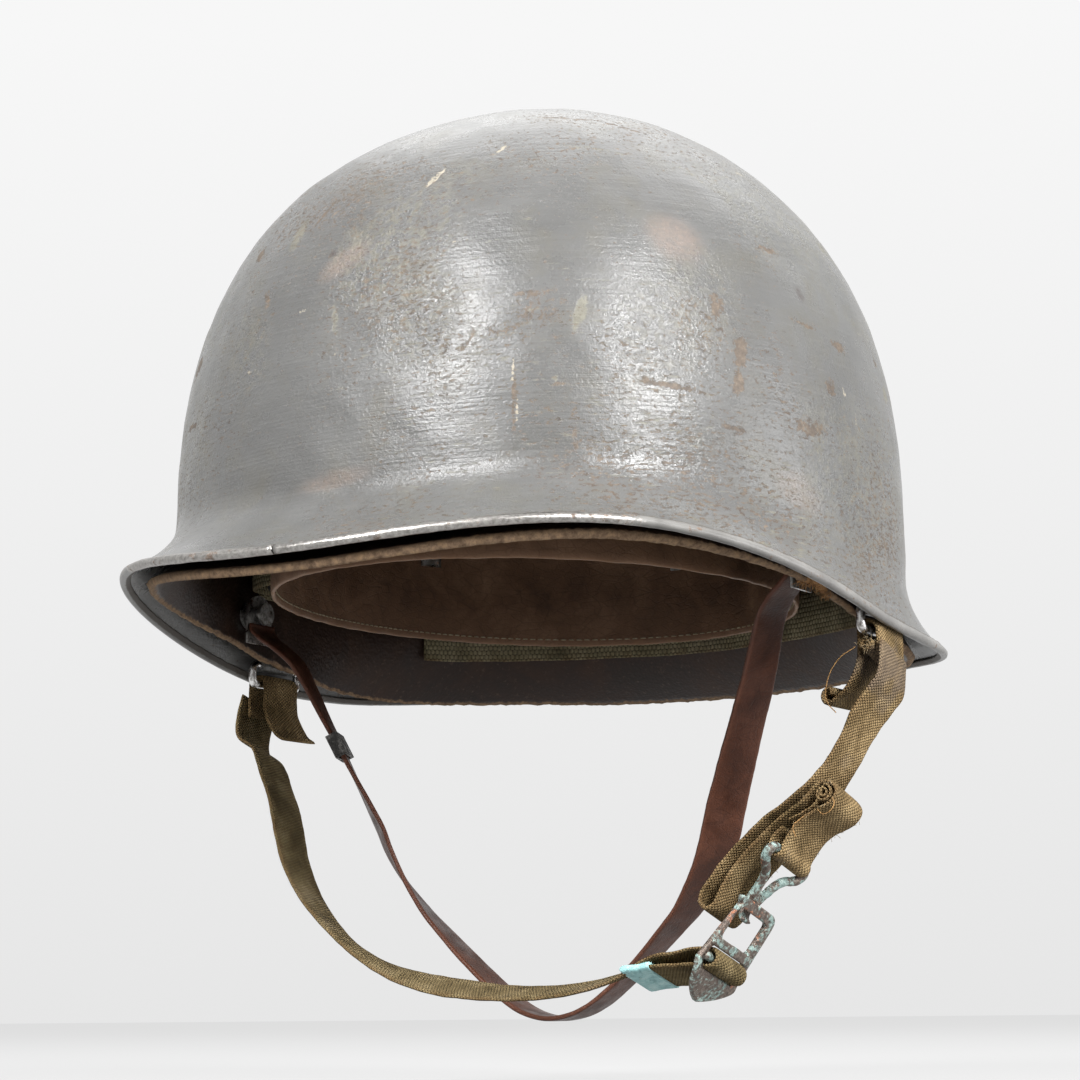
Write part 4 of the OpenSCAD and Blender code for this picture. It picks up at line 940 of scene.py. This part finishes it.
LEFT = [[5.5, -6], [5.5, -17.8], [3, -21.6], [-1.6, -28.6], [-4.8, -36.2], [-8.6, -43.6], [-13.4, -50.4],
        [-20.4, -56.4], [-28.6, -63], [-36.6, -71.4], [-42.2, -79.4], [-44.6, -83.4], [-44.6, -86.6], [-42.4, -88.3],
        [-40, -86.8], [-38.6, -83.2], [-36.4, -78.8], [-33.2, -73.8], [-26.4, -66], [-18.8, -59.2], [-14.8, -56.2],
        [-12.3, -53.2], [-9.6, -50.6], [-6.4, -51], [-4.3, -53.6], [-5.6, -56.8], [-9.6, -59.2], [-13.4, -61.2],
        [-16, -63.6], [-17.9, -66.6]]
HOOK_AT = arr([-21.6, -70.6])
left_pts = LEFT + arc_points(HOOK_AT, 2.35, range(20, -185, -34))
left_pts += [list(HOOK_AT + v) for v in ([-1.5, 3.6], [1.6, 6.6])]
narrow = [1 - 0.13 * math.exp(-((v[1] + 40) / 9) ** 2) for v in left_pts]
chin_web("left_strap_web", "left_web_strap", 1, lean2(left_pts, HINGE_X), ACROSS * arr(narrow)[:, None], 91, 0.25)

CHIN = [[-110.5, -26], [-105, -35], [-99.5, -44], [-95.5, -53], [-91.5, -62], [-86, -71], [-78, -80.5], [-67, -90],
        [-54, -98], [-39, -104], [-22, -108], [-5, -110.2], [12, -110.6], [28, -109], [42, -105.6]]
# The buckle's top bar as in the CAD, 36 degrees off plumb above its web bar; the plate hangs from it at 30
TOP_AT, TILT = arr([75.2, -96.5]) + 12.6 * arr([sind(36), cosd(36)]), math.radians(30)
DOWN, OUT = arr([-math.sin(TILT), -math.cos(TILT)]), arr([math.cos(TILT), -math.sin(TILT)])
ROLLER = TOP_AT + 19.0 * DOWN + 1.2 * OUT
RX = HINGE_X + 5.5
right_pts = [[-RX, -6], [-RX, -17.8], [1.6 - RX, -21.6]] + CHIN + [[54, -103.0], [62, -101.9], [67.5, -100.6]]
right_pts += arc_points(ROLLER, 2.7, range(105, -90, -36))
right_pts += [[69.6, -105.3], [64, -105.5], [57, -105.7], [51, -106.0], [45.6, -106.7]]
q = lean2(right_pts)
twisted = 3 + len(CHIN)
wide = []
for i, (c, d) in enumerate(zip(q, tangents(q))):
    twist = math.radians(29) * float(ease((76 - abs(c[0] - 5)) / 50)) if i < twisted else 0.0
    wide.append(ACROSS * math.cos(twist) + np.cross(d, ACROSS) * math.sin(twist))
chin_web("right_strap_web", "right_web_strap", -1, q, wide, 95, 0.2, 0.08, M_WEB_OLIVE, 0.8)


# Rolled ends of the left strap: one above the loop's seam, one at the fold that holds the spare length
def roll(name, centre, r0, turns, start, tail, half, body, seed):
    n = int(turns * 18)
    pts = []
    for i in range(n + 1):
        t = math.radians(start) + 2 * math.pi * turns * i / n
        r = 0.55 + (r0 - 0.55) * i / n
        pts.append([centre[0] + r * math.cos(t), centre[1] + r * math.sin(t)])
    route = lean2(pts + tail, HINGE_X)
    shown(band(name, route, ACROSS, half * 2, 1.0, M_WEB, 0.5, False, 0.3, 0.3, 0.12, seed, round_ends=True),
          body, "chin_web")


roll("knot_roll_web", (-8.3, -54.3), 2.7, 1.75, 170, [[-10.6, -57.6], [-14.5, -60.2], [-18.4, -62.2]], 9.7,
     "left_strap", 101)
roll("loop_roll_web", (0.5, -7.2), 2.0, 1.6, 200, [], 9.2, "shell", 103)


# Frayed edges and loose threads of the worn left strap
def frays(name, points, count, reach, body, seed, half_w=STRAP_W / 2):
    g = np.random.default_rng(seed)
    route, s = resample(lean2(points, HINGE_X), 0.5)
    along = tangents(route)
    out = []
    for _ in range(count):
        k = int(g.integers(0, len(s)))
        side = g.choice([-1, 1])
        p0 = route[k] + ACROSS * side * (half_w - 0.25) + g.normal(size=3) * 0.25
        d = unit(ACROSS * side * g.uniform(0.25, 1.0) + along[k] * g.normal() * 0.9 + g.normal(size=3) * 0.35)
        length = reach * g.uniform(0.35, 1.0)
        bend = g.normal(size=3) * length * 0.22
        out.append([p0, p0 + d * length * 0.5 + bend, p0 + d * length + bend * 1.6 + arr([0, 0, -0.15 * length])])
    shown(fibres(name, out, M_FIBRE, 0.065, 5), body, "chin_web")


frays("left_strap_frays", LEFT[3:10], 40, 0.9, "left_strap", 201, STRAP_W * 0.425)
frays("fold_frays", LEFT[10:19], 36, 0.9, "left_strap", 202)
frays("knot_frays", LEFT[20:] + [[-18.4, -66.6]], 60, 1.5, "left_strap", 203)
frays("loop_frays", [[0.5, -4.8], [2.2, -7.4], [0.3, -9.4], [-1.6, -7.4]], 60, 1.8, "shell", 204)

# Each point of a loose thread: out from the bail's bar and up in the strap's plane, and across it
LOOSE = [[(-2.5, -8.2, -9.2), (-6.8, -12.6, -11.0), (-9.4, -19.5, -11.6), (-9.2, -26.0, -11.2), (-6.2, -29.6, -10.2)],
         [(-5.3, -56.0, -9.2), (-3.8, -58.0, -10.2), (-4.6, -60.6, -10.7), (-7.2, -61.2, -10.0), (-9.5, -59.3, -9.3)],
         [(-13.6, -61.4, -9.4), (-16.0, -64.8, -10.8), (-15.0, -68.0, -10.4)]]
loose = [[lean([HINGE_X + x, w, v]) for x, v, w in line] for line in LOOSE]
shown(fibres("left_strap_threads", loose, M_THREAD, 0.16, 6), "left_strap", "chin_web")

# Hook: a bent wire stirrup that narrows to a flat shank, whose end turns out under the buckle's top bar
hook_lean = math.atan2(HINGE_X + HOOK_AT[0] - TOP_AT[0], HOOK_AT[1] - TOP_AT[1])


def hook_place(p):
    p = arr(p)
    c, s = math.cos(hook_lean), math.sin(hook_lean)
    x = p[..., 0] * c + p[..., 2] * s + HINGE_X + HOOK_AT[0]
    z = -p[..., 0] * s + p[..., 2] * c + HOOK_AT[1]
    return lean(np.stack([x, p[..., 1], z], -1))


half = STRAP_W / 2 + 2.1
side_path = [[0, 0, 0], [0, half - 2.5, 0], [0, half - 0.8, -0.3], [-0.1, half, -1.6], [-0.3, half - 0.5, -3.4],
             [-0.6, half - 2.6, -5.0], [-0.9, half - 5.2, -6.3], [-1.2, 4.4, -8.2], [-1.6, 3.3, -10.8],
             [-2.1, 2.6, -13.6], [-2.6, 2.0, -16.8]]
for k, sgn in enumerate((1, -1)):
    pts = [hook_place([x, sgn * y, z]) for x, y, z in side_path]
    ob = wire("hook_leg_%d" % k, pts, lambda t: 1.5 - 0.15 * t, M_BRASS, 16, 0.5, 110 + k)
    shown(ob, "hook", "hook_brass", *(["strap_hook"] if k == 0 else []))
shank = [hook_place([x, 0, z]) for x, z in ((-2.4, -12.4), (-2.65, -15.5), (-2.75, -19.2), (-2.4, -21.2), (-1.5, -22.3),
                                            (-0.4, -22.4))]
shown(band("hook_shank", shank, ACROSS, 5.0, 1.8, M_BRASS, 0.4, False, 0.45, 0.05, 0.05, 115, lambda t: 1 - 0.12 * t,
           True), "hook", "hook_brass")

# Buckle: one stamped plate with a window, a raised bar for the web and a leaf-shaped thumb piece
PLATE_W = 25.0


def rounded(points, radii, n=6):
    out = []
    for i, (p, r) in enumerate(zip(points, radii)):
        a, b, c = arr(points[i - 1]), arr(p), arr(points[(i + 1) % len(points)])
        s, e = b + unit(a - b) * r, b + unit(c - b) * r
        for k in range(n + 1):
            t = k / n
            out.append((1 - t) ** 2 * s + 2 * t * (1 - t) * b + t * t * e)
    return out


FRAME_END, LEAF_END, BAR_W, CROSS_Y = 20.6, 32.0, 1.7, 13.9
half = PLATE_W / 2
leaf = [[half * max(1 - t * t, 0.0) ** 0.85 + 0.4, FRAME_END + (LEAF_END - FRAME_END) * t]
        for t in np.linspace(0, 1, 15)]
outline = rounded([[-half, -BAR_W], [half, -BAR_W], [half, FRAME_END - 0.2]], (4.2, 4.2, 0.1))[:-7]
outline += leaf + [[-x, y] for x, y in leaf[::-1]]
win = STRAP_W / 2 + 0.8
windows = [rounded([[-w, y0], [w, y0], [w, y1], [-w, y1]], (1.8,) * 4)
           for w, y0, y1 in ((win - 1.6, BAR_W, 12.4), (win, 15.4, 21.8))]
def buckle_place(co):
    """Local x across, y down from the top bar, z out of the plate's inner face; the leaf dishes like a spoon."""
    x, y, z = co[:, 0], co[:, 1], co[:, 2]
    z = z + 1.0 * ease((y - FRAME_END) / 12) - 1.3 * (x / 12.5) ** 2 * ease((y - FRAME_END) / 4)
    c, s = math.cos(TILT), math.sin(TILT)
    return lean(np.stack([TOP_AT[0] - y * s - z * c, x, TOP_AT[1] - y * c + z * s], -1))


ob = plate("buckle_plate", [outline] + windows, 1.9, 0.6, M_BUCKLE, buckle_place)
at_top = arr([v.co for v in ob.data.vertices]) / MM
at_top = np.exp(-(np.linalg.norm(at_top - buckle_place(arr([[-2, 0, 0]]))[0], axis=1) / 8) ** 2)
ob.data.attributes.new("warm", "FLOAT", "POINT").data.foreach_set("value", at_top.astype(np.float32))
shown(ob, "right_strap", "buckle_brass", "strap_buckle")
cross = [buckle_place(arr([[x, CROSS_Y, z]]))[0]
         for x, z in ((-11.8, -0.7), (-10.4, -1.1), (-5, -1.5), (0, -1.6), (5, -1.5), (10.4, -1.1), (11.8, -0.7))]
down = buckle_place(arr([[0, 1.0, 0]]))[0] - buckle_place(arr([[0, 0.0, 0]]))[0]
shown(band("buckle_cross_bar", cross, down, 3.0, 1.5, M_BUCKLE, 0.5, False, 0.5, 0.1, 0.06, 122, round_ends=True),
      "right_strap", "buckle_brass")
bar_pts = [lean([ROLLER[0], x, ROLLER[1]]) for x in (-11.6, -10.6, -6, 0, 6, 10.6, 11.6)]
shown(wire("buckle_bar", bar_pts, 1.3, M_BRASS, 14, 0.6, 121), "right_strap", "buckle_brass")

# Brass tip: a thin sheet folded over the free end, pinched and creased
TIP_ROWS, TIP_COLS = 34, 44
end, prev = arr(right_pts[-1]), arr(right_pts[-2])
dirn = unit(end - prev)
nrm = arr([-dirn[1], dirn[0]])
rows = []
for i in range(TIP_ROWS):
    t = -9.0 + 9.6 * i / (TIP_ROWS - 1)
    close = math.sqrt(max(1 - max(t + 0.4, 0) ** 2 / 1.05, 0)) if t > -0.4 else 1.0
    pinch = 1 - 0.05 * math.exp(-((t + 5) / 2.4) ** 2)
    ring = []
    for k in range(TIP_COLS):
        th = 2 * math.pi * k / TIP_COLS
        cx = math.copysign(abs(math.cos(th)) ** 0.22, math.cos(th))
        cy = math.copysign(abs(math.sin(th)) ** 0.55, math.sin(th))
        x2 = end + dirn * t + nrm * cy * 1.32 * max(close, 0.15)
        ring.append(lean([x2[0], cx * (STRAP_W / 2 + 0.62) * pinch * (0.96 + 0.04 * close), x2[1]]))
    rows.append(ring)
tip = arr(rows)
flat = tip.reshape(-1, 3)
creases = (0.10 * waves(flat, 4.2, 131) + 0.07 * waves(flat, 1.9, 132)).reshape(tip.shape[:2])
tip = tip + unit(tip - tip.mean(1, keepdims=True)) * creases[..., None]
shown(grid("strap_tip_cap", tip, M_TIP, caps=True), "right_strap", "tip_brass", "strap_tip")

# Leather strap from stud to stud under the chin
stud = arr([105.274, -17.03, 22])
LX = stud[0] - 6
HALF = [([0, 8, -112.5], 0), ([8, 8.3, -111.2], 0), ([15, 8.6, -108], 0), ([23.5, 8.8, -101.8], 0),
        ([32, 8.5, -94.5], 2), ([40.5, 8, -86.5], 8), ([47.6, 7.6, -79.5], 16), ([53.5, 6.3, -72], 26),
        ([58.2, 4.8, -64.6], 36), ([61.5, 3.3, -57.5], 41), ([64.2, 1.9, -50], 42), ([67.6, 0, -42], 38),
        ([71.1, -2, -34], 33), ([76, -4.6, -23], 27), ([80.6, -7, -12.6], 22), ([84.5, -9.6, -3], 17),
        ([88.2, -12.6, 5.2], 11), ([92.6, -15.4, 10.2], 6), ([LX - 2.6, stud[1], 13.6], 2), ([LX, stud[1], 16.6], 0),
        ([LX, stud[1], 18.4], 0)]
both = [([-p[0], p[1], p[2]], -t) for p, t in HALF[:0:-1]] + HALF
route = [p for p, t in both]
wide = [[sind(t), cosd(t), 0] for p, t in both]
ob = band("leather_strap_skin", route, wide, 13, 1.6, M_LEATHER, 0.9, False, 0.16, 0.12, 0.05, 141)
shown(ob, "leather_strap", "strap_leather", "leather_strap")

for material, nodes in ((M_BAIL, ("left_bail", "right_bail")), (M_LUG, ("left_bail_lug", "right_bail_lug")),
                        (M_BLACK, ("front_eyelet", "web_rivets", "rivet_washers", "neckband_rivets",
                                   "leather_strap_buckle")),
                        (M_STEEL, ("sweatband_clips", "sweatband_buckle", "strap_studs", "leather_strap_ends"))):
    for node in nodes:
        repaint(NODES[node], material)


# Light: a pale room, two soft banks in front, one overhead and one at the wearer's left
def lamp(name, at, size, power):
    data = bpy.data.lights.new(name, "AREA")
    data.shape, data.size, data.size_y, data.energy = "RECTANGLE", *size, power
    z = unit(arr(at) - arr([0, 0, 0.05]))
    x = unit(np.cross(UP, z))
    stand(placed(name, data), x, np.cross(z, x), z, at)


lamp("bank_left", (-0.20, -1.435, 0.947), (0.42, 0.95), 40)
lamp("bank_right", (1.335, -0.715, 0.843), (0.42, 0.85), 42)
lamp("overhead", (-0.2, 0.75, 1.6), (1.8, 1.4), 14)
lamp("side_right", (1.7, 0.55, -0.1), (1.2, 1.6), 34)


def looked_at(nodes):
    """1 for rays that show the surroundings: to the eye, in a reflection or through something clear."""
    return most(*[nodes.node("LightPath", "Is %s Ray" % kind) for kind in ("Camera", "Glossy", "Transmission")])


# A pale room that is brighter behind the object; what the eye sees of it only pales upwards
world = bpy.data.worlds.new("pale_room")
world.use_nodes = True
room = Nodes(world.node_tree)
way = room.node("TexCoord", "Generated")
behind = room.node("VectorMath", "Value", {0: way, 1: (0.66, 0.70, 0.25)}, operation="DOT_PRODUCT")
seen = room.span(room.node("SeparateXYZ", 2, {0: way}), 0.0, 0.36, 0.795, 0.93, "LINEAR")
felt = room.span(behind, -0.8, 0.9, 0.12, 0.72, "LINEAR")
glow = room.node("Mix", 0, {0: looked_at(room), 2: felt, 3: seen}, data_type="FLOAT")
sky = room.tree.nodes["Background"].inputs
room.put(sky["Strength"], glow)
room.put(sky["Color"], (1, 1, 1))
bpy.context.scene.world = world
bpy.context.scene.view_settings.view_transform = "Standard"

# Floor, pale to the eye from above, with a faint shadow, and clear from below
floor_m = bpy.data.materials.new("pale_floor")
floor_m.use_nodes = True
ground = Nodes(floor_m.node_tree)
ground.tree.nodes.clear()
glow = ground.node("Emission", 0, {"Color": (0.795, 0.795, 0.795)})
matt, dull = [ground.node("BsdfDiffuse", 0, {"Color": (c, c, c)}) for c in (0.8, 0.22)]
pale = ground.node("MixShader", 0, {0: 0.15, 1: glow, 2: matt})
top_side = ground.node("MixShader", 0, {0: looked_at(ground), 1: dull, 2: pale})
under_side = ground.node("BsdfTransparent", 0)
both_sides = ground.node("MixShader", 0, {0: ground.node("NewGeometry", "Backfacing"), 1: top_side, 2: under_side})
ground.put(ground.tree.nodes.new("ShaderNodeOutputMaterial").inputs[0], both_sides)
REACH, LEVEL = 6000, -135
floor_at = [[x * REACH, y * REACH, LEVEL] for x, y in ((-1, -1), (1, -1), (1, 1), (-1, 1))]
floor = add_mesh("floor", floor_at, [[0, 1, 2, 3]], floor_m, None, False)
